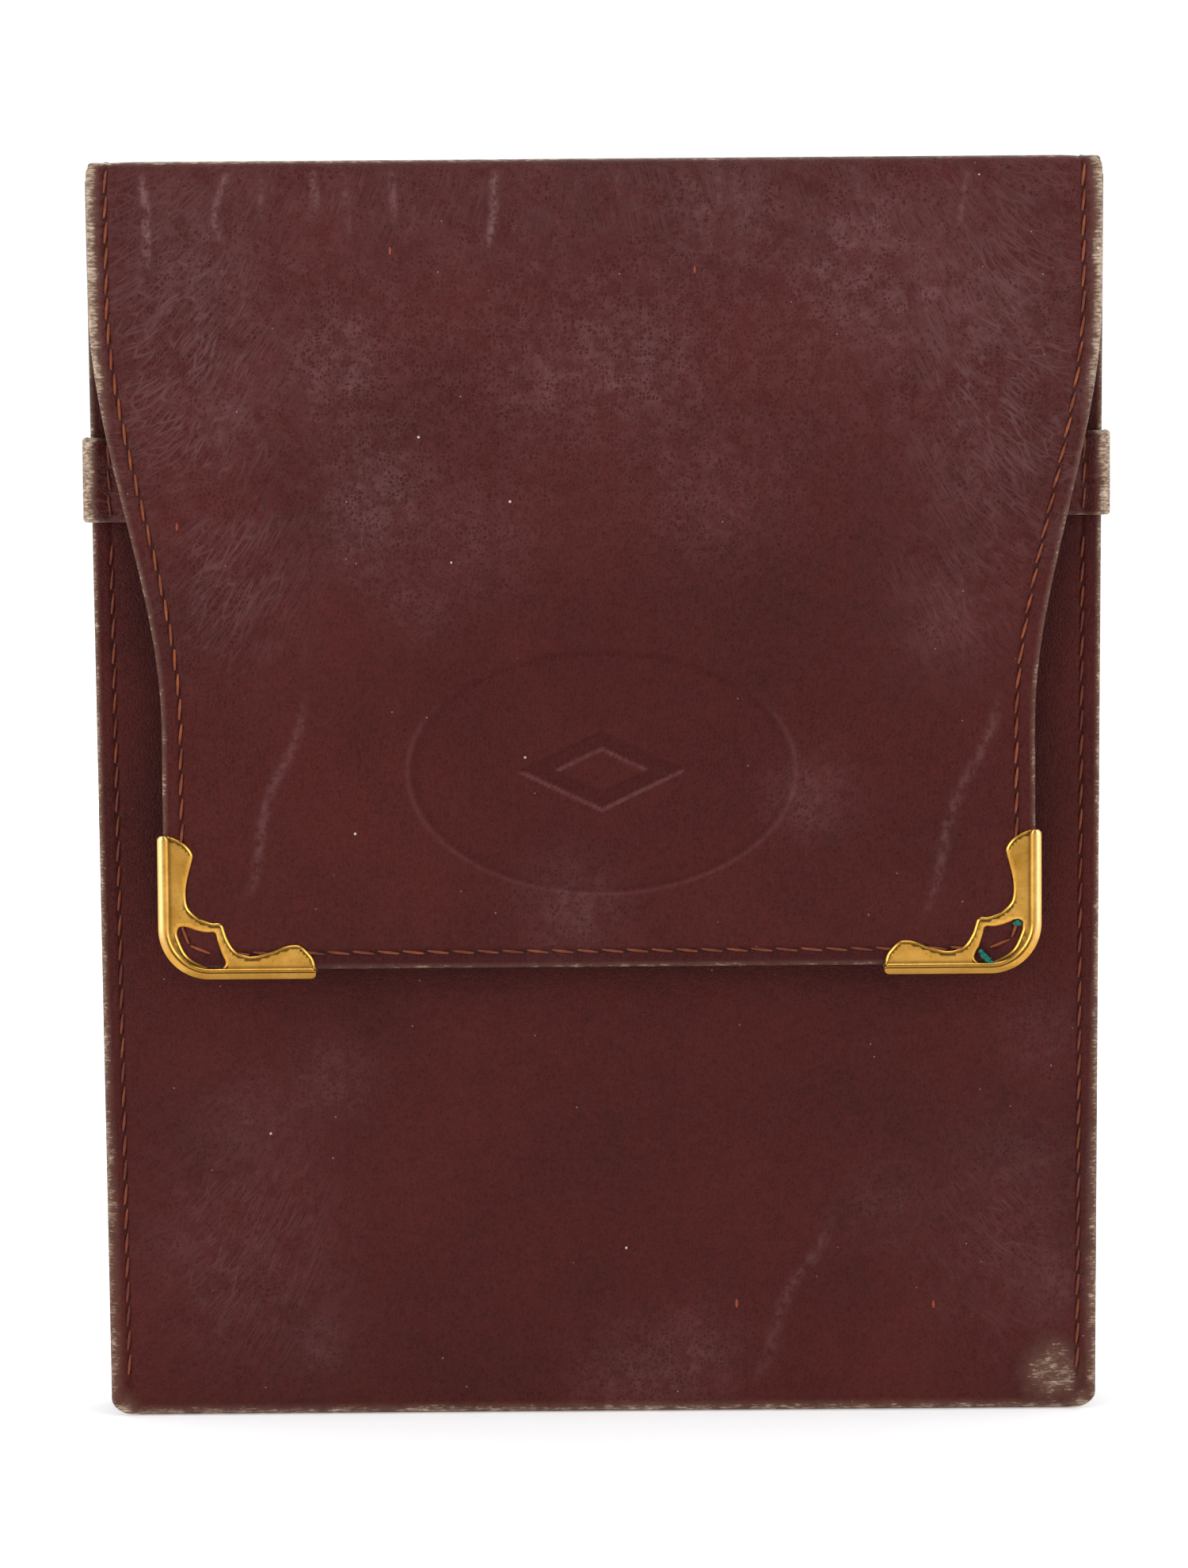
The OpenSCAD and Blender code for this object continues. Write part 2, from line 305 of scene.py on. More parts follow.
# Distances in from an edge of the columns or rows that shape its rounding and its seam
EDGE_STEPS = np.array([0, 0.02, 0.07, 0.15, 0.27, 0.42, 0.6, 0.8, 1.05, 1.3, 1.5, 1.68, 1.84, 2.0, 2.16,
                       2.32, 2.5, 2.8, 3.2, 3.4, 4.0])


def closed_pair(name, outer, inner, materials, layers=None, cut=()):
    """A closed mesh from two grids of points that meet at their rims; outer faces along (column x row)."""
    n, m = outer.shape[:2]
    index = np.arange(n * m).reshape(n, m)
    inside = np.zeros((n, m), bool)
    inside[1:-1, 1:-1] = True
    second = index.copy()
    second[inside] = n * m + np.arange(inside.sum())
    verts = np.concatenate([outer.reshape(-1, 3), inner[inside]])
    faces = quads(index) + [face[::-1] for face in quads(second)]
    sharp = None
    if cut:
        sharp = np.zeros(len(verts), bool)
        for end in cut:
            sharp[index[end]] = True
            sharp[second[1 if end == 0 else -2]] = True
    found = {key: np.concatenate([v.ravel(), v[inside]]) for key, v in (layers or {}).items()}
    return make_object(name, verts, faces, materials, found, sharp)


def rows_between(start, end, step, fine=(True, True)):
    """Distances from start to end, closer together at the ends that are rounded."""
    band = EDGE_STEPS[:9]
    direction = 1 if end > start else -1
    first = start + direction * band if fine[0] else np.array([start])
    last = end - direction * band[::-1] if fine[1] else np.array([end])
    return np.concatenate([first, spaced(first[-1], last[0], step)[1:-1], last])


def sheet(name, rows, across, top, under, materials, inset=0, ends=(False, False), cut=(), layers=None):
    """A closed sheet that lies along the path.

    rows are distances along it. across are places between the two edge bands, from -1 to 1. top and
    under give the two faces as heights over the path's skin. ends says which ends are this sheet's
    own rounded edges, and cut names the ends, 0 or -1, where it meets its continuation.
    """
    rows = np.asarray(rows, float)
    if 0 in cut:
        rows = np.insert(rows, 1, rows[0] + 0.02)
    if -1 in cut:
        rows = np.insert(rows, -1, rows[-1] - 0.02)
    half = half_width(rows) - inset
    middle = half - EDGE_STEPS[-1]
    x = np.concatenate([
        -half[:, None] + EDGE_STEPS[None, :],
        np.asarray(across)[None, 1:-1] * middle[:, None],
        half[:, None] - EDGE_STEPS[None, ::-1],
    ], 1)
    s = np.broadcast_to(rows[:, None], x.shape)
    d = np.maximum(edge_distance(x, s) - inset, 0)
    d = np.where(np.isclose(np.abs(x), half[:, None]), 0, d)
    for own, end in zip(ends, (rows[0], rows[-1])):
        if own:
            d = np.minimum(d, np.abs(s - end))
    point, normal = on_path(rows)

    def place(offset):
        return np.concatenate([x[..., None], point[:, None] + normal[:, None] * offset[..., None]], -1)

    found = {key: np.asarray(fn(x, s, d), float) * np.ones_like(x) for key, fn in (layers or {}).items()}
    return closed_pair(name, place(top(x, s, d)), place(under(x, s, d)), materials, found, cut)


# ---- Shape of the leather's faces ----
def settle(x, s):
    """Slow swell of the whole thickness: the flap lifts over the strap, and the panels aren't quite flat."""
    z = at_z(s)
    flap = s < S_FRONT_CREASE
    free = ramp(z, FLAP_LOW + 17, FLAP_LOW + 26) * ramp(z, CREASE_Z - 1, CREASE_Z - 12)
    over_strap = 0.55 * bump(z, 100, 13) - 0.25 * bump(z, 74, 9)
    wide = ramp(np.abs(x), half_width(s), 36)
    waves = 0.12 * noise(x, z, 17, 4) + 0.05 * noise(x, z, 7, 5)
    sides = 0.25 * bump(z, 84, 11) * ramp(np.abs(x), 34, 46)
    on_flap = free * (over_strap * (0.55 + 0.45 * wide) + waves - sides)
    level = ramp(z, 4, 16) * ramp(z, CREASE_Z - 2, CREASE_Z - 14)
    on_case = level * (0.10 * noise(x, z, 21, 6) + 0.04 * noise(x, z, 8, 8))
    return np.where(flap, on_flap, np.where(s > S_BACK, on_case, 0))


OVAL = {"x": 0.3, "z": 68.6, "a": 19.6, "b": 12.5}
LOZENGE = {"a": 8.6, "b": 4.1}


def emboss(x, z):
    """A pressed oval line with a plain lozenge in it."""
    reach = np.hypot((x - OVAL["x"]) / OVAL["a"], (z - OVAL["z"]) / OVAL["b"])
    across = (reach - 1) * OVAL["b"] / np.maximum(reach, 0.2)
    ring = -0.20 * bump(across, 0, 0.26) - 0.10 * ramp(across, 0.2, -0.3)
    diamond = np.abs(x - OVAL["x"]) / LOZENGE["a"] + np.abs(z - OVAL["z"]) / LOZENGE["b"]
    size = LOZENGE["b"] * 0.9
    band = -0.30 * ramp((diamond - 1) * size, 0.16, -0.16) * ramp((diamond - 0.55) * size, -0.16, 0.16)
    return ring + band


def seam_dip(x, s, d):
    """The row of stitches pulls the leather down in a narrow groove with a dip at each needle hole."""
    z = at_z(s)
    on_flap = s < S_FRONT_CREASE
    up = z - FLAP_LOW
    from_side = np.where(on_flap, d, half_width(s) - np.abs(x))
    low_run = on_flap & (up < 3.2) & (np.abs(x) < FLAP_LOW_HALF - 3)
    place = np.where(low_run, LOW_SEAM, SEAM)
    along = np.where(low_run, x, s)
    has_seam = np.where((s > S_BACK_FOOT - 1.5) & (s < S_FRONT + 1.5), 0, 1)
    holes = 0.55 + 0.45 * np.cos(2 * PI * along / PITCH)
    groove = 0.20 * bump(from_side, place, 0.24) * (0.55 + 0.45 * holes)
    return -(groove + 0.07 * bump(from_side, place, 0.9)) * has_seam


# Place across, length, lean and strength of each fold below the top edge
FOLDS = [(-46.5, 13, 0.05, 1.0), (-38.5, 10, -0.08, 0.8), (-35, 7, 0.1, 0.5), (-29, 6, 0, 0.7),
         (-25.8, 9, 0.06, 0.5), (-20.6, 7, 0, 0.6), (-10.6, 10, -0.03, 1.0), (2.5, 5, 0.05, 0.4),
         (13, 6, -0.1, 0.4), (27, 7, 0.12, 0.5), (38, 9, -0.1, 0.6)]


def fold_amount(x, s, width):
    """Short folds running down from the top edge of the flap."""
    z = at_z(s)
    total = 0
    for x0, length, lean, strength in FOLDS:
        t = (CREASE_Z + 1 - z) / length
        wander = x0 + lean * (CREASE_Z - z) + 0.5 * noise(z, x0, 4, 31)
        total = total + strength * bump(x, wander, width) * ramp(t, 1, 0.55) * ramp(t, 0, 0.10)
    return np.where(s < S_TOP, total, 0)


def cover_top(x, s, d):
    plump_edge = -0.12 * ramp(d, 1.5, 0.3)
    pressed = np.where(s < S_FRONT_CREASE, emboss(x, at_z(s)), 0)
    shape = seam_dip(x, s, d) + plump_edge + pressed - 0.10 * fold_amount(x, s, 0.55)
    return settle(x, s) + shape * ramp(d, 0.0, 1.2) - round_off(d, hem_thickness(s))


def cover_under(x, s, d):
    hem = hem_thickness(s)
    inner = COVER_T + (hem - COVER_T) * ramp(d, 3.5, 3.1)
    return settle(x, s) - inner + round_off(d, hem) * (inner >= hem - 0.02)


# ---- Wear and painted light, held on the mesh so that it stays with the leather at every pose ----
# Place across, height, radius and strength of each pale rubbed patch on the flap and the front panel
FLAP_SCUFFS = [(-27, 111, 4.5, 0.9), (-23, 98, 5, 0.8), (-25, 92, 4, 0.5), (-5, 109, 5, 0.5),
               (4, 111, 5.5, 0.75), (13, 127, 4.5, 0.7), (31, 118, 7, 0.7), (36, 84, 5, 0.6),
               (39, 100, 6, 0.4), (-41, 122, 5, 0.6), (-38, 106, 4, 0.6), (22, 66, 4, 0.7),
               (-3, 54, 5, 0.6), (28, 122, 6, 0.5), (-19, 86, 4, 0.4), (-12, 93, 6, 0.45),
               (12, 97, 7, 0.4), (42, 115, 4, 0.7)]
FRONT_SCUFFS = [(-37, 30, 6, 0.5), (-30, 8, 4, 0.5), (2, 4, 5, 0.5), (10, 6, 5, 0.6), (44, 26, 6, 0.35),
                (47, 14, 5, 0.5), (-44, 18, 5, 0.4), (30, 22, 5, 0.3), (-28, 36, 4, 0.5), (46, 40, 4, 0.4)]
# The same, and how much taller than wide it is, of each wrinkled patch
FLAP_FANS = [(-42, 112, 11, 1, 1.9), (42, 110, 11, 1, 1.9), (-38, 90, 9, 0.8, 1.2), (37, 88, 8, 0.6, 1.2)]
FRONT_FANS = [(-37, 18, 10, 0.65, 1.3), (42, 18, 9, 0.5, 1.4)]
# Ends of each long pale streak: across and height, across and height
STREAKS = [((-30.3, 77.5), (-37.5, 54.5)), ((42, 77.5), (33.2, 52.5)), ((24.5, 22), (15.5, 3))]


def patches(x, z, table):
    """Soft patches, as a list with one amount for each row of a table."""
    return [k * bump(np.hypot(x - cx, (z - cz) / (tall or [1])[0]), 0, r)
            for cx, cz, r, k, *tall in table]


def streak_amount(x, z):
    total = 0
    for (x0, z0), (x1, z1) in STREAKS:
        dx, dz = x1 - x0, z1 - z0
        length = math.hypot(dx, dz)
        t = ((x - x0) * dx + (z - z0) * dz) / length**2
        off = ((x - x0) * dz - (z - z0) * dx) / length + 0.5 * np.sin(t * 9)
        total = total + bump(off, 0, 0.55) * ramp(t, -0.05, 0.2) * ramp(t, 1.05, 0.8)
    return total


def by_face(s, flap, front, back):
    """Picks the amount that holds at a distance along the path, between 0 and 1."""
    return np.clip(np.where(s < S_TOP, flap, np.where(s > S_FRONT_FOOT, front, back)), 0, 1)


def scuff_and_sheen_layer(x, s, d):
    z = at_z(s)
    # Besides the rubbed patches, painted sheen: the flap grows paler and more violet towards its top, as
    # light from above would haze it
    flap = sum(patches(x, z, FLAP_SCUFFS)) + 0.46 * ramp(z, 80, 122)
    back = 0.35 * ramp(noise(x, z, 13, 12), 0.1, 0.8)
    return by_face(s, flap, sum(patches(x, z, FRONT_SCUFFS)), back)


def streak_layer(x, s, d):
    z = at_z(s)
    on_flap = (s < S_FRONT_CREASE) & (z > FLAP_LOW)
    on_front = (s > S_FRONT) & (z < 24)
    return np.where(on_flap | on_front, 0.8 * streak_amount(x, z), 0) + 2.2 * fold_amount(x, s, 0.48)


def wear_layer(x, s, d):
    """Bare pale fibre along the edges and the top folds, strongest at the shoulders and the feet."""
    z = at_z(s)
    side = half_width(s) - np.abs(x)
    leftness = ramp(x, 45, -50)
    on_front = s > S_FRONT_FOOT
    rim = bump(d, 0.1, 0.5 + 0.6 * on_front * ramp(z, 60, 10)) * (0.46 + 0.14 * on_front)
    shoulder = bump(np.minimum(d, side), 0.1, 1.0) * ramp(z, 99, 114) * np.where(x < 0, 1.0, 0.9)
    shoulder = shoulder * (s < S_TOP + 1)
    back_corner = 0.6 * bump(np.hypot(side, s - S_BACK), 0, 3.0)
    fold = bump(s, S_TOP - 0.35, 0.7) * (0.58 + 0.36 * leftness) + 0.5 * bump(s, S_BACK - 1.2, 0.8)
    foot_line = (bump(s, S_FRONT_FOOT + 1.0, 1.0) + bump(s, S_UNDER - 1.0, 0.9)) * 0.60
    foot = (s > S_BACK_FOOT - 12) & (s < S_FRONT + 12)
    corner = 0.85 * bump(np.hypot(side, z), 0, 2.6) * foot
    patch = 0.66 * bump(np.hypot(x - 47.4, (z - 4.0) / 1.2), 0, 3.0) * on_front
    return np.clip(np.maximum.reduce([rim, shoulder, back_corner, fold, foot_line, corner, patch]), 0, 1)


def crease_layer(x, s, d):
    """Where the leather is wrinkled: fans at both shoulders of the flap and near the foot."""
    z = at_z(s)
    flap = np.maximum.reduce(patches(x, z, FLAP_FANS) + [0.55 * bump(z, 128, 7)])
    front = np.maximum.reduce(patches(x, z, FRONT_FANS))
    return by_face(s, flap, front, 0.5 * ramp(noise(x, z, 22, 14), 0, 0.8))


def seam_line_and_flap_shadow_layer(x, s, d):
    """Dark line that the seam leaves in the leather, and painted shadow on the front panel beside and below
    the flap's edges.
    """
    z = at_z(s)
    # Painted shadow: a dark band on the front panel along the flap's sides and under its lower edge
    beside = 0.62 * bump(np.abs(x), flap_half(z) + 0.4, 1.7) * ramp(z, FLAP_LOW + 3, FLAP_LOW + 6)
    below = 0.5 * bump(z, FLAP_LOW - 0.3, 1.3) * ramp(np.abs(x), FLAP_LOW_HALF + 1.5, FLAP_LOW_HALF - 1)
    return np.maximum(ramp(-seam_dip(x, s, d), 0.10, 0.28), np.maximum(beside, below) * (s > S_FRONT))


def pressed_layer(x, s, d):
    """The pressed line and lozenge are darker, and the inside of the oval a little."""
    z = at_z(s)
    return np.where(s < S_FRONT_CREASE, np.clip(-2.6 * emboss(x, z), 0, 1), 0)


def emboss_highlight_layer(x, s, d):
    """Painted highlight: the upward-facing sides of the pressed lines, and a thin line just outside the
    oval's lower part, are painted pale as if lit from above.
    """
    z = at_z(s)
    reach = np.hypot((x - OVAL["x"]) / OVAL["a"], (z - OVAL["z"]) / OVAL["b"])
    rim = 0.5 * bump((reach - 1) * OVAL["b"], 0.40, 0.16) * ramp(z, OVAL["z"] + 9, OVAL["z"] + 3)
    facing = emboss(x, z - 0.16) - emboss(x, z + 0.16)
    inside = reach < 0.8
    return np.where(s < S_FRONT_CREASE, np.clip(rim + inside * ramp(facing, 0.03, 0.16), 0, 1), 0)


def turned_layer(x, s, d):
    """The flap's turned lower edge, below its stitches, is darker and redder."""
    return np.where(s < S_FRONT_CREASE, ramp(at_z(s) - FLAP_LOW, LOW_SEAM - 0.1, LOW_SEAM - 0.5), 0)


LEATHER_LAYERS = {"scuff_and_sheen": scuff_and_sheen_layer, "streak": streak_layer, "wear": wear_layer,
                  "wrinkle": crease_layer, "groove": seam_line_and_flap_shadow_layer, "pressed": pressed_layer,
                  "emboss_highlight": emboss_highlight_layer, "turned": turned_layer}


# ---- Materials ----
class Maker:
    """Builds one node material, a line to a node, with colour as what has been mixed so far."""

    def __init__(self, name, colour, **shader):
        self.colour = colour
        self.material = bpy.data.materials.new(name)
        self.material.use_nodes = True
        self.tree = self.material.node_tree
        self.tree.nodes.clear()
        out = self.tree.nodes.new("ShaderNodeOutputMaterial")
        self.shader = self.tree.nodes.new("ShaderNodeBsdfPrincipled")
        self.tree.links.new(self.shader.outputs["BSDF"], out.inputs["Surface"])
        for socket, value in shader.items():
            self.shader.inputs[socket.replace("_", " ")].default_value = value

    def put(self, socket, value):
        if isinstance(value, bpy.types.NodeSocket):
            self.tree.links.new(value, socket)
        else:
            socket.default_value = value

    def node(self, kind, output=0, props=None, **inputs):
        """Adds a node and gives one of its outputs; i0, i1 and so on are inputs by number."""
        n = self.tree.nodes.new("ShaderNode" + kind)
        for key, value in (props or {}).items():
            setattr(n, key, value)
        for key, value in inputs.items():
            by_number = key[0] == "i" and key[1:].isdigit()
            self.put(n.inputs[int(key[1:]) if by_number else key.replace("_", " ")], value)
        return n.outputs[output]

    def attribute(self, name, output="Fac"):
        return self.node("Attribute", output, {"attribute_name": name})

    @cached_property
    def place(self):
        """Where a point lies at rest, in millimetres."""
        return self.attribute("rest_place", "Vector")

    def math(self, operation, a, b=0.0, clamp=False):
        return self.node("Math", 0, {"operation": operation, "use_clamp": clamp}, i0=a, i1=b)

    def add(self, a, b, clamp=False):
        return self.math("ADD", a, b, clamp)

    def sub(self, a, b):
        return self.math("SUBTRACT", a, b)

    def mul(self, a, b):
        return self.math("MULTIPLY", a, b)

    def most(self, a, b):
        return self.math("MAXIMUM", a, b)

    def layer(self, name, strength):
        return self.mul(self.attribute(name), strength)

    def mix(self, fac, a, b):
        return self.node("MixRGB", 0, None, Fac=fac, Color1=a, Color2=b)

    def tint(self, fac, colour):
        self.colour = self.mix(fac, self.colour, colour)

    def span(self, value, low, high, to_low=0.0, to_high=1.0):
        return self.node("MapRange", 0, {"clamp": True}, Value=value, From_Min=low, From_Max=high,
                         To_Min=to_low, To_Max=to_high)

    def noise(self, scale, detail, rough, vector=None, twist=0.0):
        return self.node("TexNoise", 0, None, Vector=vector or self.place, Scale=scale, Detail=detail,
                         Roughness=rough, Distortion=twist)

    def cells(self, vector, scale, output="Distance", feature="F1"):
        return self.node("TexVoronoi", output, {"feature": feature}, Vector=vector, Scale=scale)

    def scaled(self, vector, scale):
        return self.node("VectorMath", 0, {"operation": "MULTIPLY"}, i0=vector, i1=scale)

    def finish(self, rough, height=None, distance=None):
        self.put(self.shader.inputs["Base Color"], self.colour)
        self.put(self.shader.inputs["Roughness"], rough)
        if height is not None:
            normal = self.node("Bump", 0, None, Height=height, Distance=distance)
            self.put(self.shader.inputs["Normal"], normal)
        return self.material


def rgb(r, g, b):
    """A colour given as 0 to 255 screen values."""
    to_linear = lambda v: v / 12.92 if v <= 0.04045 else ((v + 0.055) / 1.055) ** 2.4
    return tuple(to_linear(v / 255) for v in (r, g, b)) + (1.0,)


def ridges(m, vector, scale, width):
    """Thin lines where a noise passes through its middle value."""
    off = m.math("ABSOLUTE", m.sub(m.noise(scale, 2.0, 0.5, vector, 0.3), 0.5))
    return m.span(off, width, 0.0)


def slanted(m, side, z, angle, stretch, shift):
    """Coordinates drawn out along lines that rise inwards from both side edges at an angle in degrees."""
    c, s = math.cos(math.radians(angle)), math.sin(math.radians(angle))
    along = m.sub(m.mul(z, s), m.mul(side, c))
    across = m.add(m.mul(z, c), m.mul(side, s))
    return m.node("CombineXYZ", 0, None, X=m.mul(along, stretch), Y=across, Z=shift)


def fanned(m, side, z, stretch, sway, shift):
    """Coordinates drawn out along curves, level at both side edges and ever steeper further in."""
    inward = m.sub(52.0, side)
    rise = m.mul(m.mul(inward, inward), 0.05)
    across = m.add(m.sub(z, rise), sway)
    return m.node("CombineXYZ", 0, None, X=m.mul(side, stretch), Y=across, Z=shift)


def calf_leather():
    """Fine-grained burgundy calf with wrinkles, rubbed patches, streaks and bare edges."""
    m = Maker("burgundy_calf", rgb(58, 16, 12), Specular_IOR_Level=0.12)
    split = m.node("SeparateXYZ", 0, None, Vector=m.place)
    x, y, z = split, split.node.outputs[1], split.node.outputs[2]
    side = m.math("ABSOLUTE", x)
    shift = m.add(m.mul(m.math("GREATER_THAN", x, 0.0), 57.0), y)

    # Grain: tiny flat-topped cells, each of its own tone, between fine furrows
    wander = m.node("TexNoise", "Color", None, Vector=m.place, Scale=1.1, Detail=2.0)
    warp = m.node("VectorMath", 0, {"operation": "ADD"}, i0=m.place, i1=m.scaled(wander, (0.5, 0.5, 0.5)))
    furrow = m.cells(warp, 2.3, feature="DISTANCE_TO_EDGE")
    cell = m.cells(warp, 2.3, "Color")
    tone = m.node("SeparateColor", 0, None, Color=cell)
    grain = m.span(furrow, 0.0, 0.16)
    net = m.span(furrow, 0.17, 0.03)
    fine = m.noise(5.5, 2.0, 0.6)
    pores = m.noise(1.6, 3.0, 0.6)
    cloud = m.noise(0.05, 4.0, 0.55)
    blotch = m.noise(0.35, 4.0, 0.65)

    # Colour of the sound leather
    depth = m.add(m.mul(cloud, 0.75), m.mul(blotch, 0.25))
    m.tint(m.span(depth, 0.36, 0.66), rgb(76, 24, 19))
    m.tint(m.mul(tone, 0.28), rgb(94, 34, 28))
    m.tint(m.mul(m.span(m.noise(2.6, 2.0, 0.6), 0.52, 0.70), 0.55), rgb(52, 13, 11))
    rough = m.span(pores, 0.3, 0.7, 0.40, 0.52)
    height = m.add(m.mul(grain, 0.7), m.mul(fine, 0.3))

    # Pressed and turned places are darker
    m.tint(m.layer("pressed", 0.60), rgb(60, 13, 12))
    # Painted highlight on the upward-facing sides of the pressed lines and along the oval's lower part
    emboss_highlight = m.mul(m.attribute("emboss_highlight"), m.span(pores, 0.32, 0.62, 0.20, 0.48))
    m.tint(emboss_highlight, rgb(128, 82, 80))
    m.tint(m.layer("turned", 0.75), rgb(58, 12, 14))

    # Wrinkles: a drawn-out mesh in a fan, level at the side edges and steep further in, and a few across it
    sway = m.mul(m.sub(m.noise(0.09, 2.0, 0.5), 0.5), 5.0)
    mesh = m.cells(fanned(m, side, z, 0.40, sway, shift), 0.85, feature="DISTANCE_TO_EDGE")
    lines = m.mul(m.span(mesh, 0.085, 0.015), 0.90)
    lines = m.most(lines, ridges(m, fanned(m, side, z, 0.11, sway, shift), 0.62, 0.034))
    steep = ridges(m, slanted(m, side, z, 62, 0.12, shift), 0.62, 0.026)
    lines = m.most(lines, m.mul(steep, 0.6))
    broken = m.span(m.noise(0.32, 3.0, 0.6), 0.38, 0.54)
    wrinkle = m.mul(m.mul(lines, m.attribute("wrinkle")), broken)

    # Rubbed patches: a violet bloom with pale dots on the tops of the grain; the same layer carries painted
    # sheen towards the flap's top
    scuff_and_sheen = m.attribute("scuff_and_sheen")
    ragged = m.span(m.noise(0.5, 5.0, 0.72), 0.38, 0.66)
    dots = m.mul(m.mul(scuff_and_sheen, ragged), m.span(tone, 0.45, 0.85))
    bloom_and_sheen = m.mul(scuff_and_sheen, m.span(blotch, 0.3, 0.65, 0.25, 0.6))
    rub = m.mul(m.most(scuff_and_sheen, m.layer("wrinkle", 0.6)), ragged)
    meshwork = m.mul(net, m.add(m.mul(rub, 0.8), 0.08))
    streak = m.mul(m.attribute("streak"), m.span(m.noise(1.4, 4.0, 0.7), 0.36, 0.60))
    pale = m.most(m.mul(dots, 0.45), m.mul(wrinkle, 0.52))
    pale = m.most(pale, m.mul(streak, 0.50))
    pale = m.most(pale, m.mul(meshwork, 0.62))
    pale = m.add(pale, m.mul(bloom_and_sheen, 0.22), clamp=True)
    m.tint(pale, rgb(122, 86, 87))

    # Bare fibre along the edges, broken up across them
    wear = m.attribute("wear")
    fibre = m.noise(2.4, 4.0, 0.65, m.scaled(m.place, (0.4, 0.7, 2.0)))
    patchy = m.noise(0.5, 4.0, 0.7)
    bare = m.add(wear, m.mul(m.sub(fibre, 0.5), 1.3))
    bare = m.add(bare, m.mul(m.sub(patchy, 0.5), 1.1))
    bare = m.mul(m.span(bare, 0.50, 0.98), m.span(wear, 0.04, 0.3))
    buff = m.mix(m.span(fibre, 0.34, 0.64), rgb(116, 90, 76), rgb(212, 192, 166))
    m.tint(m.mul(m.span(wear, 0.12, 0.75), m.span(patchy, 0.30, 0.62, 0.4, 0.85)), rgb(124, 94, 78))
    m.tint(m.mul(bare, 0.92), buff)

    # Specks of dust, orange nicks, the dirt in the seams, and painted shadow beside and below the flap
    for where, scale, size, strength, tint in (
            (m.place, 0.13, 0.018, 0.8, rgb(225, 210, 200)), (m.place, 0.36, 0.028, 0.45, rgb(200, 180, 170)),
            (m.scaled(m.place, (1.0, 1.0, 0.30)), 0.16, 0.022, 0.55, rgb(190, 96, 66))):
        spots = m.math("LESS_THAN", m.cells(where, scale), size)
        m.tint(m.mul(spots, strength), tint)
    # Dark seam lines, and painted shadow on the front panel beside and below the flap
    m.tint(m.layer("groove", 0.5), rgb(34, 12, 11))
    dull = m.most(pale, bare)
    rough = m.add(rough, m.mul(dull, 0.3), clamp=True)
    height = m.sub(height, m.mul(wrinkle, 0.9))
    height = m.sub(height, m.mul(bare, 0.5))
    return m.finish(rough, height, 0.00006)


def lining_leather():
    m = Maker("lining_skiver", rgb(66, 24, 24), Specular_IOR_Level=0.35)
    fine = m.noise(3.2, 4.0, 0.65)
    cloud = m.noise(0.07, 4.0, 0.6)
    m.tint(m.span(cloud, 0.35, 0.7), rgb(84, 34, 33))
    m.tint(m.span(fine, 0.35, 0.75, 0.0, 0.25), rgb(104, 52, 48))
    rough = m.span(fine, 0.3, 0.7, 0.55, 0.7)
    return m.finish(rough, fine, 0.00003)


def fibre_board():
    m = Maker("fibre_board", rgb(150, 122, 92), Specular_IOR_Level=0.2)
    fibres = m.noise(1.2, 5.0, 0.7, m.scaled(m.place, (1, 1, 3)))
    m.tint(fibres, rgb(190, 168, 134))
    return m.finish(m.span(fibres, 0.3, 0.7, 0.8, 0.95), fibres, 0.00005)


def waxed_thread():
    m = Maker("waxed_thread", rgb(106, 46, 24), Specular_IOR_Level=0.3)
    shade = m.noise(0.5, 3.0, 0.6)
    hair = m.noise(9.0, 3.0, 0.7)
    m.tint(m.span(shade, 0.36, 0.66), rgb(158, 82, 44))
    m.tint(m.layer("age", 0.7), rgb(84, 34, 24))
    m.tint(m.span(hair, 0.45, 0.8, 0.0, 0.4), rgb(72, 30, 20))
    return m.finish(m.span(hair, 0.3, 0.7, 0.5, 0.7), hair, 0.00003)


def aged_brass():
    m = Maker("aged_brass", rgb(214, 162, 76), Metallic=1.0)
    cloud = m.noise(0.35, 4.0, 0.6)
    rub = m.noise(5.0, 3.0, 0.6, m.scaled(m.place, (1, 1, 0.3)))
    pits = m.noise(2.2, 4.0, 0.7)
    m.tint(m.span(cloud, 0.35, 0.7), rgb(190, 136, 54))
    m.tint(m.span(pits, 0.60, 0.76, 0.0, 0.55), rgb(120, 82, 36))
    # Painted highlight along the crest of the side arm's rim
    m.tint(m.layer("polish", 0.8), rgb(252, 216, 150))
    # Tarnish in the valley beside the rim, and painted shade along the lower arm's rim
    m.tint(m.layer("tarnish_and_shade", 0.85), rgb(92, 62, 30))
    rough = m.add(m.span(cloud, 0.3, 0.7, 0.19, 0.27), m.span(pits, 0.58, 0.8, 0.0, 0.18))
    height = m.add(m.mul(rub, 0.3), cloud)
    return m.finish(rough, height, 0.00002)


def verdigris_crust():
    m = Maker("verdigris_crust", rgb(8, 78, 68), Specular_IOR_Level=0.3)
    grit = m.noise(6.0, 4.0, 0.7)
    m.tint(m.span(grit, 0.35, 0.7), rgb(34, 132, 114))
    return m.finish(m.span(grit, 0.3, 0.7, 0.7, 0.9), grit, 0.00005)


LEATHER = calf_leather()
LINING = lining_leather()
BOARD = fibre_board()
THREAD = waxed_thread()
BRASS = aged_brass()
VERDIGRIS = verdigris_crust()


# ---- Pieces whose transforms are baked into their meshes ----
def bend(obj):
    """Bakes a piece's transform into its mesh."""
    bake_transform(obj)


def bends_at_front_crease(obj):
    bend(obj)


def bends_at_rear_crease(obj):
    bend(obj)


def bends_under_front(obj):
    bend(obj)


# ---- The outer leather and its lining, in three stretches that meet where nothing bends ----
FINE, COARSE, BEND_STEP, TOP_STEP = 0.22, 0.65, 0.3, 0.7
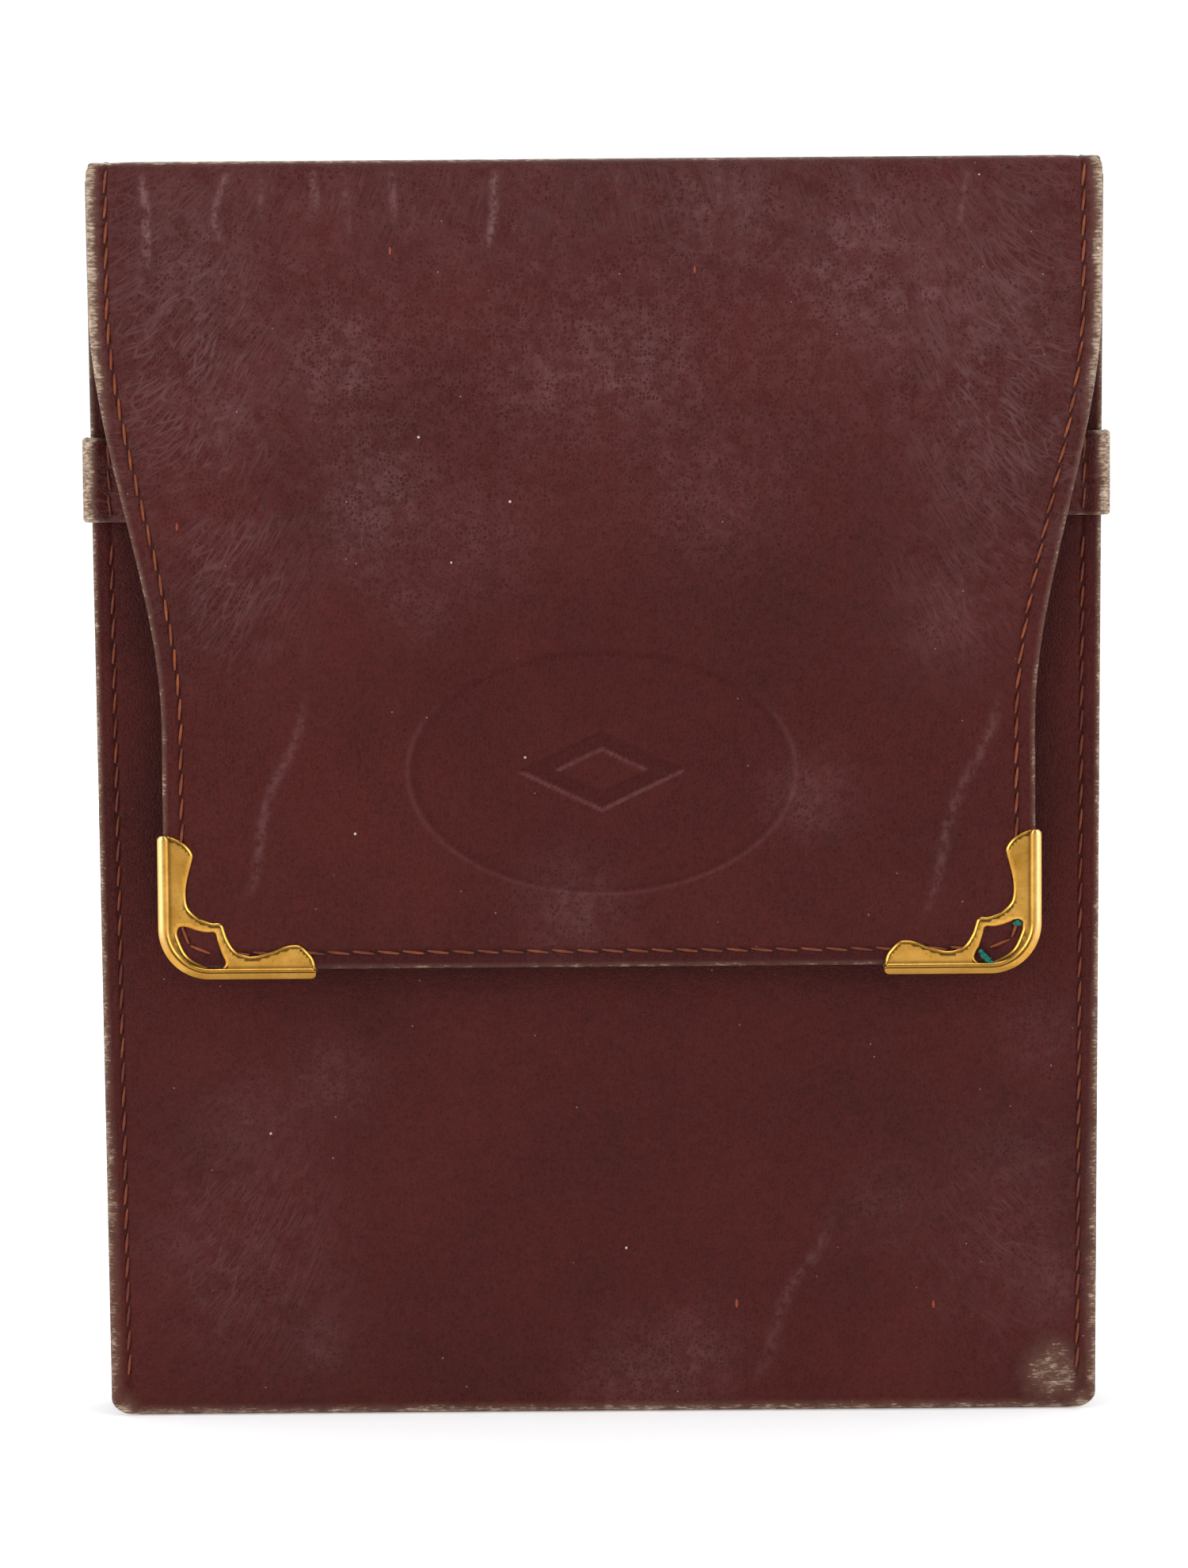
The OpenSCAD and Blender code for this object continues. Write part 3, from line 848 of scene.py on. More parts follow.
# Name, which ends are the sheet's own edges, which are cuts, and the function that bakes its transform
STRETCHES = [("flap", (True, False), (-1,), bends_at_front_crease),
             ("top", (False, False), (0, -1), bends_at_rear_crease),
             ("case", (False, True), (0,), bends_under_front)]


def along_path(suffix, slot, runs, **kind):
    """A sheet for each stretch, from its rows, places across, two faces and the CAD nodes it replaces."""
    for (name, ends, cut, follow), (rows, across, top, under, *nodes) in zip(STRETCHES, runs):
        piece = sheet(name + suffix, rows, across, top, under, ends=ends, cut=cut, **kind)
        follow(piece)
        stands_for(piece, slot, *nodes)


def flap_rows():
    """Rows from the flap's lower edge to the middle of the top, close together where the oval is."""
    oval_low = OVAL["z"] - OVAL["b"] - 1 - FLAP_LOW
    oval_high = OVAL["z"] + OVAL["b"] + 1 - FLAP_LOW
    return joined(
        rows_between(0, oval_low, COARSE, (True, False)),
        spaced(oval_low, oval_high, FINE),
        spaced(oval_high, S_FRONT_CREASE - 1, COARSE),
        spaced(S_FRONT_CREASE - 1, S_TOP + 1, BEND_STEP),
        spaced(S_TOP + 1, S_TOP_MIDDLE, TOP_STEP))


def flap_across():
    """Places across the flap, close together where the oval is."""
    reach = (OVAL["a"] + 2) / (FLAP_LOW_HALF - EDGE_STEPS[-1])
    count = int(2 * (OVAL["a"] + 2) / FINE)
    return joined(spaced(-1, -reach, 0.010), np.linspace(-reach, reach, count), spaced(reach, 1, 0.010))


def outer_leather():
    faces = cover_top, cover_under
    top_rows = joined(
        spaced(S_TOP_MIDDLE, S_REAR_CREASE - 1, TOP_STEP),
        spaced(S_REAR_CREASE - 1, S_BACK + 1, BEND_STEP),
        spaced(S_BACK + 1, S_BACK_MIDDLE, COARSE))
    case_rows = joined(
        spaced(S_BACK_MIDDLE, S_BACK_FOOT - 2, COARSE),
        spaced(S_BACK_FOOT - 2, S_FRONT + 2, 0.25),
        rows_between(S_FRONT + 2, S_END, COARSE, (False, True)))
    along_path("_leather", "outer_leather", [
        (flap_rows(), flap_across(), *faces, "flap_cover", "front_crease"),
        (top_rows, spaced(-1, 1, 0.022), *faces, "top_cover", "rear_crease"),
        (case_rows, spaced(-1, 1, 0.018), *faces, "back_cover", "bottom_cover", "front_cover"),
    ], materials=[LEATHER], layers=LEATHER_LAYERS)


# ---- Linings, boards and pockets ----
def lining_faces(thickness):
    """The two faces of a lining, which lies on the inner side of leather and board."""
    return (lambda x, s, d: settle(x, s) - stack_thickness(s) + thickness - round_off(d, thickness),
            lambda x, s, d: settle(x, s) - stack_thickness(s) + round_off(d, thickness))


def linings():
    flat_step, bend_step = 1.0, 0.35
    across = spaced(-1, 1, 0.04)
    flap_rows = joined(
        rows_between(1.0, S_FRONT_CREASE - 1, flat_step, (True, False)),
        spaced(S_FRONT_CREASE - 1, S_TOP_MIDDLE, bend_step))
    top_rows = joined(
        spaced(S_TOP_MIDDLE, S_BACK + 2, bend_step),
        spaced(S_BACK + 2, S_BACK_MIDDLE, flat_step))
    case_rows = joined(
        spaced(S_BACK_MIDDLE, S_BACK_FOOT - 3, flat_step),
        spaced(S_BACK_FOOT - 3, S_FRONT + 3, bend_step),
        rows_between(S_FRONT + 3, S_END - 1.2, flat_step, (False, True)))
    along_path("_lining_skiver", "lining_leather", [
        (flap_rows, across, *lining_faces(0.6), "flap_lining"),
        (top_rows, across, *lining_faces(0.45), "top_lining"),
        (case_rows, across, *lining_faces(0.4), "back_lining", "bottom_lining", "front_lining"),
    ], materials=[LINING], inset=1.0)


BOARD_GAP, POCKET_T = 0.02, 0.5


def boards():
    """Stiffening boards, sealed between leather and lining."""
    for body, start, end, thickness in (("flap", 3.6, S_FRONT_CREASE - 6, 0.7),
                                        ("back", S_BACK + 6, S_BACK_FOOT - 2, 0.6),
                                        ("front", S_FRONT + 3.5, S_END - 3.6, 0.6)):
        slim = thickness - 2 * BOARD_GAP
        face = lambda x, s, d: settle(x, s) - COVER_T - BOARD_GAP - round_off(d, slim)
        back = lambda x, s, d: settle(x, s) - COVER_T - thickness + BOARD_GAP + round_off(d, slim)
        piece = sheet(body + "_stiffener", rows_between(start, end, 2.5), spaced(-1, 1, 0.08), face, back,
                      [BOARD], inset=3.6, ends=(True, True))
        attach(piece, body)
        stands_for(piece, "board", body + "_board")


def pockets():
    """Flat pocket panels on the inside of the back, each with a pressed line below its turned edge."""
    for node in ("card_pocket_upper", "card_pocket_middle", "card_pocket_lower"):
        face_y, back_y = low(node)[1], high(node)[1]
        mouth = S_BACK + CREASE_Z - high(node)[2]
        foot = S_BACK + CREASE_Z - low(node)[2]
        outer, inner = BACK_Y - face_y, BACK_Y - back_y

        def face(x, s, d):
            below = np.abs(s - mouth)
            line_below = 0.12 * bump(below, 1.6, 0.22) - 0.16 * ramp(below, 1.5, 0.4)
            swell = 0.10 * noise(x, s, 16, 41) * ramp(s, mouth, mouth + 8)
            return -(outer + swell * ramp(d, 0, 3) - line_below * ramp(d, 0, 1) - round_off(d, POCKET_T))

        piece = sheet(node + "_panel", rows_between(mouth, foot, 1.0), spaced(-1, 1, 0.03),
                      lambda x, s, d: -(inner + 0.02 + round_off(d, POCKET_T)), face, [LINING], inset=5.8,
                      ends=(True, True))
        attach(piece, "back")
        stands_for(piece, "lining_leather", node)


# ---- Side gussets ----
def gussets():
    """Strips folded inwards along their middle."""
    thickness, gap, rounding = 0.8, 0.05, 0.4
    fold_r = 0.012
    foot, head = low("left_gusset")[2] + 0.2, high("left_gusset")[2]
    for side, node in ((-1, "left_gusset"), (1, "right_gusset")):
        edge = max(abs(low(node)[0]), abs(high(node)[0])) - 0.1
        apex = min(abs(low(node)[0]), abs(high(node)[0])) + 1.0
        y0, y1 = FRONT_IN_Y + gap, POCKET_Y - gap
        t = spaced(-1, 1, 0.05)
        z = rows_between(foot, head, 1.6)
        tt, zz = np.meshgrid(t, z)
        peak = np.sqrt(tt**2 + fold_r) - math.sqrt(fold_r)
        peak = peak / peak.max()
        sag = 0.35 * noise(tt * 9, zz, 15, 21 + side) * (1 - tt**2)
        x = apex + (edge - apex) * peak + sag
        y = (y0 + y1) / 2 - tt * (y1 - y0) / 2
        slope_x, slope_y = np.gradient(x, axis=1), np.gradient(y, axis=1)
        length = np.hypot(slope_x, slope_y)
        nx, ny = slope_y / length, -slope_x / length
        rim = np.minimum.reduce([zz - foot, head - zz, (1 - np.abs(tt)) * 6])
        grow = thickness / 2 * np.sqrt(1 - np.clip(1 - rim / rounding, 0, 1) ** 2)
        grid = lambda k: np.stack([side * (x + k * nx * grow), y + k * ny * grow, zz], -1)
        outer, inner = (grid(-1), grid(1)) if side > 0 else (grid(1), grid(-1))
        layers = {"scuff_and_sheen": 0.3 * ramp(noise(tt * 8, zz, 9, 3), 0, 1), "wrinkle": 0.5 + 0 * x,
                  "wear": 0.75 * bump(rim, 0, rounding) + 0.45 * bump(tt, 0, 0.06)}
        piece = closed_pair(node + "_fold", outer, inner, [LEATHER], layers)
        bend(piece)
        stands_for(piece, "gusset_leather", node)


# ---- Keeper strap ----
def keeper_strap():
    """A doubled band across the front, turned round the panel's side edges and worn bare there."""
    r = 1.9
    back_y = FRONT_IN_Y - 0.1
    depth = back_y - (STRAP_Y + r)
    flat = 2 * (STRAP_HALF - r)
    arc = PI * r / 2
    total = 2 * depth + 2 * arc + flat
    thick_front, thick_side = 1.4, 0.75
    turned_at = depth + arc
    seam_end = turned_at + 8
    half_run = joined(
        rows_between(0, depth, 0.4, (True, False)),
        spaced(depth, turned_at, 0.22),
        spaced(turned_at, seam_end, 0.4))
    u = joined(half_run, spaced(seam_end, total - seam_end, 1.4), total - half_run[::-1])
    w = rows_between(STRAP_LOW, STRAP_HIGH, 0.6)
    half_u = np.minimum(u, total - u)
    side = np.where(u < total / 2, -1, 1)
    angle = np.clip((half_u - depth) / arc, 0, 1) * PI / 2
    nx, ny = side * np.cos(angle), -np.sin(angle)
    straight = np.clip(half_u - turned_at, 0, None)
    px = side * (STRAP_HALF - r + r * np.cos(angle) - straight)
    py = np.where(half_u < depth, back_y - half_u, STRAP_Y + r - r * np.sin(angle))
    uu, ww = np.meshgrid(u, w, indexing="ij")
    hh = np.minimum(uu, total - uu)
    d = np.minimum.reduce([ww - STRAP_LOW, STRAP_HIGH - ww, hh])
    thick = thick_side + (thick_front - thick_side) * ramp(hh, depth, turned_at)
    seam_at = turned_at - r + (STRAP_HALF - case_half(STRAP_LOW)) + SEAM
    pulled = 0.42 * bump(hh, seam_at, 1.3)
    at_stitches = bump(hh, seam_at, 0.3)
    slack = 0.10 * noise(uu, ww, 9, 51) * ramp(hh, seam_at + 3, seam_at + 12)
    edge_lines = bump(ww, STRAP_LOW + 1.0, 0.2) + bump(ww, STRAP_HIGH - 1.0, 0.2)
    edge_lines = 0.10 * edge_lines * ramp(hh, depth, seam_at)
    low_face = pulled - slack
    top = -low_face - 0.15 * at_stitches - edge_lines * ramp(d, 0, 0.6) - round_off(d, thick)
    under = -np.minimum(low_face, 0.4) * 0.6 - thick + round_off(d, thick)

    def grid(offset):
        """Points at an offset from the band's outer face, from its right end to its left."""
        x, y = px[:, None] + nx[:, None] * offset, py[:, None] + ny[:, None] * offset
        return np.stack([x, y, ww], -1)[::-1]

    turned = ramp(hh, depth + arc * 1.1, depth + arc * 0.5)
    layers = {"scuff_and_sheen": 0.4 * ramp(noise(uu, ww, 5, 17), 0, 1), "wrinkle": 0.7 + 0 * uu, "groove": at_stitches,
              "wear": np.clip(0.84 * turned + 0.5 * bump(d, 0, 0.4), 0, 1)}
    piece = closed_pair("keeper_band", grid(top), grid(under), [LEATHER], layers)
    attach(piece, "front")
    stands_for(piece, "outer_leather", "keeper_strap")


# ---- Stitching ----
STITCH_L, STITCH_R, STITCH_SUNK = 2.5, 0.14, 0.06
RINGS, SIDES = 11, 8


def stitch_points(centre, along, up):
    """One stitch: a short length of two-ply thread whose ends dive into their holes."""
    t = np.linspace(-1, 1, RINGS)
    side = np.cross(up, along)
    dive = -0.34 * np.abs(t) ** 7
    size = STITCH_R * np.sqrt(np.clip(1.04 - np.abs(t) ** 5, 0.04, 1))
    angle = np.linspace(0, 2 * PI, SIDES, endpoint=False)
    twist = 1 + 0.13 * np.cos(2 * angle[None, :] - 5.0 * t[:, None])
    ring = (centre + along * (t * STITCH_L / 2)[:, None] + up * dive[:, None])[:, None, :]
    radius = size[:, None] * twist
    return ring + (np.cos(angle)[None, :] * radius)[..., None] * side + (
        0.8 * np.sin(angle)[None, :] * radius)[..., None] * up


def thread_object(name, stitches, age):
    """Joins many stitches, each a centre, a direction and an outward direction, in one piece of thread."""
    verts = np.concatenate([stitch_points(*stitch).reshape(-1, 3) for stitch in stitches])
    faces = []
    for k in range(len(stitches)):
        faces += tube_faces(RINGS, SIDES, k * RINGS * SIDES)
    uneven = 0.30 * noise(np.arange(len(stitches)), 0, 1.7, 41)
    ages = np.repeat(np.clip(age + uneven, 0, 1), RINGS * SIDES)
    return make_object(name, verts, faces, [THREAD], {"age": ages})


def on_leather(x, s, turn_angle):
    """Centre, direction and outward direction for a stitch at x, s whose run is turned by an angle from s."""
    point, normal = on_path(s)
    across, out = np.array([1, 0, 0]), np.array([0, *normal[0]])
    along = math.cos(turn_angle) * np.cross(out, across) + math.sin(turn_angle) * across
    return np.array([x, *point[0]]) + out * (settle(x, s) - STITCH_SUNK), along, out


SLANT = math.radians(7)
# Where the leather turns the top edges, and a straight stitch would stand out of it
BENDS = [(S_FRONT_CREASE - 0.1, S_TOP + 0.9), (S_REAR_CREASE - 0.9, S_BACK + 0.1)]


def side_run(start, end, side):
    """Stitches up one side edge, midway between the needle holes."""
    found = []
    for k in range(math.ceil(start / PITCH), int(end / PITCH)):
        s = (k + 0.5) * PITCH
        if any(bend_start < s < bend_end for bend_start, bend_end in BENDS):
            continue
        z = FLAP_LOW + s
        half, slope = (flap_half(z), flap_slope(z)) if s < S_FRONT_CREASE else (half_width(s), 0)
        x = side * (half - SEAM * math.sqrt(1 + slope**2))
        found.append(on_leather(x, s, side * math.atan(slope) + SLANT))
    return found


def corner_run(side):
    """The few stitches that turn the flap's lower corner, seen through the clip's window."""
    r = FLAP_CORNER_R - SEAM
    x, s = FLAP_LOW_HALF - FLAP_CORNER_R, FLAP_CORNER_R
    return [on_leather(side * (x + r * math.cos(angle)), s - r * math.sin(angle), side * angle)
            for angle in (math.radians(20), math.radians(68))]


def stitching():
    flap, back, front = [], [], []
    for side in (-1, 1):
        flap += side_run(5.0, S_TOP_MIDDLE, side) + corner_run(side)
        back += side_run(S_TOP_MIDDLE, S_BACK_FOOT - 1, side)
        front += side_run(S_FRONT + 1, S_END - 0.5, side)
    reach = int((FLAP_LOW_HALF - FLAP_CORNER_R) / PITCH)
    flap += [on_leather((k + 0.5) * PITCH, LOW_SEAM, PI / 2 + SLANT) for k in range(-reach, reach)]
    front = [stitch for stitch in front if not STRAP_LOW - 1.2 < stitch[0][2] < STRAP_HIGH + 1.2]
    for side in (-1, 1):
        for z in (STRAP_LOW + 1.8 + k * PITCH for k in range(3)):
            centre = np.array([side * (case_half(z) - SEAM), STRAP_Y + 0.46, z])
            front.append((centre, np.array([0.1 * side, 0, 1]), np.array([0, -1, 0])))
    ages = np.array([0.55 if stitch[0][2] < FLAP_LOW + 2.2 else 0.1 for stitch in flap])
    for place, stitches, age, follow in (("flap", flap, ages, bends_at_front_crease),
                                         ("back", back, 0.5, bends_at_rear_crease),
                                         ("front", front, 0.75, lambda obj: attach(obj, "front"))):
        thread = thread_object(place + "_thread", stitches, age)
        follow(thread)
        stands_for(thread, "thread", place + "_stitching")


# ---- Brass corner clips ----
# Outlines in millimetres from the clip's outer corner: inwards, and up. The inner edge runs from the
# top of the side arm to the end of the lower arm.
CLIP_R = 5.4
CLIP_INNER = [(0.0, 15.1), (0.9, 15.15), (1.81, 14.9), (2.9, 14.3), (3.68, 13.27), (3.62, 12.46),
              (3.28, 11.2), (2.98, 9.7), (2.98, 8.36), (3.27, 7.43), (4.15, 6.6), (4.97, 6.2), (5.7, 5.98),
              (6.3, 6.0), (6.75, 5.7), (6.96, 5.09), (7.3, 4.15), (8.0, 3.1), (9.06, 2.57), (10.1, 2.5),
              (11.75, 2.92), (12.9, 3.39), (14.0, 3.62), (14.9, 3.5), (15.7, 2.75), (16.2, 2.05),
              (16.45, 0.9), (16.4, 0.0)]
CLIP_WINDOW = [(2.28, 5.55), (2.98, 5.55), (4.15, 5.15), (5.1, 4.97), (5.9, 4.95), (6.14, 4.15), (6.6, 2.75),
               (7.0, 1.75), (6.37, 1.25), (5.3, 1.29), (3.9, 1.93), (2.87, 2.75), (2.16, 4.27), (2.0, 5.09)]
RIM, TUCK = 1.3, 0.30
BEVEL_W, BEVEL_H = 0.26, 0.20
PLATE_STEP, RIM_STEP = 0.32, 0.22
# Profile of the rim's face: in from the outer edge, and back from its crest
RIM_BEAD = [(0, 0.44), (0.09, 0.28), (0.32, 0.13), (0.56, 0.02), (0.78, 0), (1.02, 0.1), (1.2, 0.26),
            (RIM, 0.44)]
# Place in, place up and radius of each crumb of verdigris on the right clip's window
CRUST = [(2.5, 5.35, 0.34), (2.85, 5.3, 0.22), (6.35, 2.45, 0.26), (6.1, 2.0, 0.36), (5.7, 1.6, 0.34),
         (5.3, 1.25, 0.3)]


def smooth_run(points, closed, step):
    """Points a fixed step apart on a smooth curve through the given ones."""
    pts = np.array(points, float)
    ring = np.concatenate([pts[-1:], pts, pts[:2]]) if closed else np.concatenate([
        [2 * pts[0] - pts[1]], pts, [2 * pts[-1] - pts[-2]]])
    fine = []
    for k in range(len(ring) - 3):
        p0, p1, p2, p3 = ring[k:k + 4]
        for t in np.linspace(0, 1, 24, endpoint=False):
            fine.append(0.5 * (2 * p1 + (p2 - p0) * t + (2 * p0 - 5 * p1 + 4 * p2 - p3) * t**2
                               + (3 * p1 - p0 - 3 * p2 + p3) * t**3))
    fine = np.array(fine + [pts[0] if closed else pts[-1]])
    gone = np.concatenate([[0], np.cumsum(np.hypot(*np.diff(fine, axis=0).T))])
    count = int(gone[-1] / step) + 1
    at = np.linspace(0, gone[-1], count + 1)
    run = np.stack([np.interp(at, gone, fine[:, 0]), np.interp(at, gone, fine[:, 1])], 1)
    return run[:-1] if closed else run


def outer_corner(step):
    """The clip's outer edge, from the top of its side arm round the corner to the end of the lower arm."""
    down = spaced(15.1, CLIP_R, step)
    angles = spaced(PI, 1.5 * PI, step / CLIP_R)
    along = spaced(CLIP_R, 16.4, step)
    return joined(
        np.stack([0 * down, down], 1),
        CLIP_R + CLIP_R * np.stack([np.cos(angles), np.sin(angles)], 1),
        np.stack([along, 0 * along], 1))


def left_of(t):
    """Unit vectors to the left of given directions."""
    return np.stack([-t[:, 1], t[:, 0]], 1) / np.hypot(*t.T)[:, None]


def distance_to(points, run, closed):
    """Shortest distance from each point to a run of line segments."""
    a = run
    b = np.roll(run, -1, 0) if closed else run[1:]
    a = a if closed else run[:-1]
    d = b - a
    t = ((points[:, None] - a) * d).sum(-1) / (d * d).sum(-1)
    near = a + np.clip(t, 0, 1)[..., None] * d
    return np.hypot(*np.moveaxis(points[:, None] - near, -1, 0)).min(1)


def inside_of(points, loop):
    """Whether each point lies inside a closed loop."""
    x, y = points[:, 0][:, None], points[:, 1][:, None]
    a, b = loop, np.roll(loop, -1, 0)
    crosses = (a[:, 1] > y) != (b[:, 1] > y)
    with np.errstate(divide="ignore", invalid="ignore"):
        at = a[:, 0] + (y - a[:, 1]) / (b[:, 1] - a[:, 1]) * (b[:, 0] - a[:, 0])
    return ((crosses & (x < at)).sum(1) % 2).astype(bool)


def plate(loops, height, thickness):
    """A plate with bevelled edges inside the first loop and outside the rest, from height at its middle."""
    def gap(points):
        return np.min([distance_to(points, loop, True) for loop in loops], 0)

    def inside(points):
        within = inside_of(points, loops[0])
        for hole in loops[1:]:
            within &= ~inside_of(points, hole)
        return within

    points = list(loops)
    for loop in loops:
        n = left_of(np.roll(loop, -1, 0) - np.roll(loop, 1, 0))
        for off in (0.05, 0.13, 0.21, BEVEL_W):
            for sign in (-1, 1):
                near = loop + n * off * sign
                points.append(near[gap(near) > off * 0.92])
    (low_x, low_y), (high_x, high_y) = loops[0].min(0), loops[0].max(0)
    gx, gy = np.meshgrid(np.arange(low_x, high_x, PLATE_STEP), np.arange(low_y, high_y, PLATE_STEP))
    grid = np.stack([gx.ravel(), gy.ravel()], 1)
    points = np.concatenate(points + [grid[gap(grid) > 0.36]])
    ends = np.cumsum([len(loop) for loop in loops])
    keep = inside(points)
    keep[:ends[-1]] = True
    points = points[keep]
    edges, first = [], 0
    for end in ends:
        edges += [(i, i + 1 if i + 1 < end else first) for i in range(first, end)]
        first = end
    found, _, tris, _, _, _ = delaunay_2d_cdt([Vector(p) for p in points], edges, [], 0, 1e-7)
    found, tris = np.array([tuple(p) for p in found]), np.array(tris)
    tris = tris[inside(found[tris].mean(1))]
    used = np.unique(tris)
    found, tris = found[used], np.searchsorted(used, tris)
    count = len(found)
    y = height + BEVEL_H * np.clip(1 - gap(found) / BEVEL_W, 0, 1) ** 1.25
    front = np.stack([found[:, 0], y, found[:, 1]], 1)
    rear = np.stack([found[:, 0], np.full(count, height + thickness), found[:, 1]], 1)
    pairs = {}
    for tri in tris:
        for a, b in ((tri[0], tri[1]), (tri[1], tri[2]), (tri[2], tri[0])):
            pairs[(a, b)] = pairs.get((a, b), 0) + 1
    walls = [(b, a, a + count, b + count) for a, b in pairs if (b, a) not in pairs]
    faces = [tuple(t) for t in tris] + [tuple(t[::-1] + count) for t in tris] + walls
    return np.concatenate([front, rear]), faces


def swept_rim(front_y, back_y):
    """The clip's folded outer wall: a rounded bead in front, carried round the edge to the back."""
    run = outer_corner(RIM_STEP)
    inward = left_of(np.gradient(run, axis=0))
    bead = [(x, front_y + drop) for x, drop in smooth_run(RIM_BEAD, False, 0.11)]
    tail = [(RIM / 2 - RIM / 2 * math.cos(a), back_y - 0.25 + 0.25 * math.sin(a))
            for a in np.linspace(PI, 0, 9)]
    section = np.array(bead + [(RIM, front_y + 0.62), (0.5, front_y + 0.66), (0.5, back_y - 0.45),
                               (RIM, back_y - 0.42)] + tail + [(0.0, back_y - 0.4), (0.0, front_y + 0.6)])
    n = len(run)
    ends = np.minimum(np.arange(n), np.arange(n)[::-1]) * RIM_STEP
    shrink = np.sqrt(np.clip(1 - np.clip(1 - ends / 0.4, 0, 1) ** 2, 0.02, 1))
    rows = []
    for k in range(n):
        reach = RIM / 2 + (section[:, 0] - RIM / 2) * (0.55 + 0.45 * shrink[k])
        flat = run[k] + inward[k] * reach[:, None]
        rows.append(np.stack([flat[:, 0], section[:, 1], flat[:, 1]], 1))
    return np.concatenate(rows), tube_faces(n, len(section))


def crust_lump(centre, radius, seed):
    """A little crumb of verdigris."""
    rows, cols = 9, 14
    a = np.linspace(0.06, PI - 0.06, rows)[:, None]
    b = np.linspace(0, 2 * PI, cols, endpoint=False)[None, :]
    lumps = noise(3 * np.cos(b) * np.sin(a) + 9, 3 * np.cos(a) + 3 * np.sin(b) * np.sin(a), 1.3, seed)
    r = radius * (1 + 0.45 * lumps)
    ball = np.stack([r * np.sin(a) * np.cos(b), 0.4 * r * np.cos(a), 0.8 * r * np.sin(a) * np.sin(b)], -1)
    return (ball + np.array(centre)).reshape(-1, 3), tube_faces(rows, cols)


def corner_clips():
    inner = smooth_run(CLIP_INNER, False, 0.2)
    outer = outer_corner(0.2)[::-1]
    outer = outer - left_of(np.gradient(outer, axis=0)) * TUCK
    outline = np.concatenate([inner[1:-1], outer[1:-1]])
    outline = outline[(outline > TUCK * 0.9).all(1)]
    window = smooth_run(CLIP_WINDOW, True, 0.16)
    for side, node in ((-1, "left_corner_clip"), (1, "right_corner_clip")):
        front_y, back_y = low(node)[1], high(node)[1]
        parts = [plate([outline, window], front_y + 0.26, 0.26), plate([outline], back_y - 0.40, 0.32),
                 swept_rim(front_y, back_y)]
        if side > 0:
            parts += [crust_lump((across, front_y + 0.3, up), r, 60 + k)
                      for k, (across, up, r) in enumerate(CRUST)]
        verts, faces, slots = [], [], []
        for k, (v, f) in enumerate(parts):
            base = sum(len(u) for u in verts)
            verts.append(v)
            faces += [tuple(base + i for i in face) for face in f]
            slots += [0 if k < 3 else 1] * len(f)
        verts = np.concatenate(verts)
        corner_x = high(node)[0] if side > 0 else -low(node)[0]
        placed = np.stack([side * (corner_x - verts[:, 0]), verts[:, 1], low(node)[2] + verts[:, 2]], 1)
        from_edge = distance_to(verts[:, [0, 2]], outer_corner(0.2), False)
        valley = bump(from_edge, RIM + 0.03, 0.16) * (verts[:, 1] < front_y + 0.5)
        # Painted shade: the lower arm's rim is darkened as if it reflected less light
        underside = 0.45 * ramp(verts[:, 2], RIM, RIM * 0.4)
        # Painted highlight: a pale band along the side arm's rim crest, where a lamp's reflection would lie
        polished = bump(from_edge, 0.36, 0.3) * ramp(verts[:, 2], 2.5, 6) * (verts[:, 1] < front_y + 0.4)
        patina_and_painted_light = {"tarnish_and_shade": np.maximum(valley, underside), "polish": polished}
        clip = make_object(node + "_brass", placed, faces, [BRASS, VERDIGRIS], patina_and_painted_light, face_material=slots)
        tidy_normals(clip)
        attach(clip, "flap")
        stands_for(clip, "brass", node)


def tidy_normals(obj):
    """Turns all faces of a mesh outwards and keeps its steep edges crisp."""
    b = bmesh.new()
    b.from_mesh(obj.data)
    bmesh.ops.recalc_face_normals(b, faces=b.faces)
    for edge in b.edges:
        if len(edge.link_faces) == 2 and edge.calc_face_angle(0) > math.radians(50):
            edge.smooth = False
    b.to_mesh(obj.data)
    b.free()


# ---- Studio ----
def stage_piece(name, verts, faces, material):
    """A piece of the studio, from points in metres."""
    mesh = bpy.data.meshes.new(name)
    mesh.from_pydata(verts, [], faces, shade_flat=False)
    mesh.materials.append(material)
    obj = added(name, mesh)
    return obj


def backdrop():
    """A pale floor that curves up into a wall all round."""
    curve = np.linspace(0.1, PI / 2, 10)
    radii = np.concatenate([np.linspace(0, 1.6, 9)[1:], 1.6 + 0.9 * np.sin(curve), [2.5]])
    rise = np.concatenate([np.zeros(8), 0.9 * (1 - np.cos(curve)), [3.2]])
    around = 64
    angle = np.linspace(0, 2 * PI, around, endpoint=False)
    circles = np.stack([radii[:, None] * np.cos(angle), radii[:, None] * np.sin(angle),
                        rise[:, None] + 0 * angle], -1)
    grid = rings(len(radii), around, 1)
    faces = [(0, a, b) for a, b in zip(grid[0], grid[0, 1:])] + [face[::-1] for face in quads(grid)]
    paper = Maker("studio_paper", rgb(246, 246, 247), Specular_IOR_Level=0.1, Emission_Color=(1, 1, 1, 1),
                  Emission_Strength=0.32).finish(0.95)
    stage_piece("studio_floor", [(0, 0, 0), *circles.reshape(-1, 3).tolist()], faces, paper)


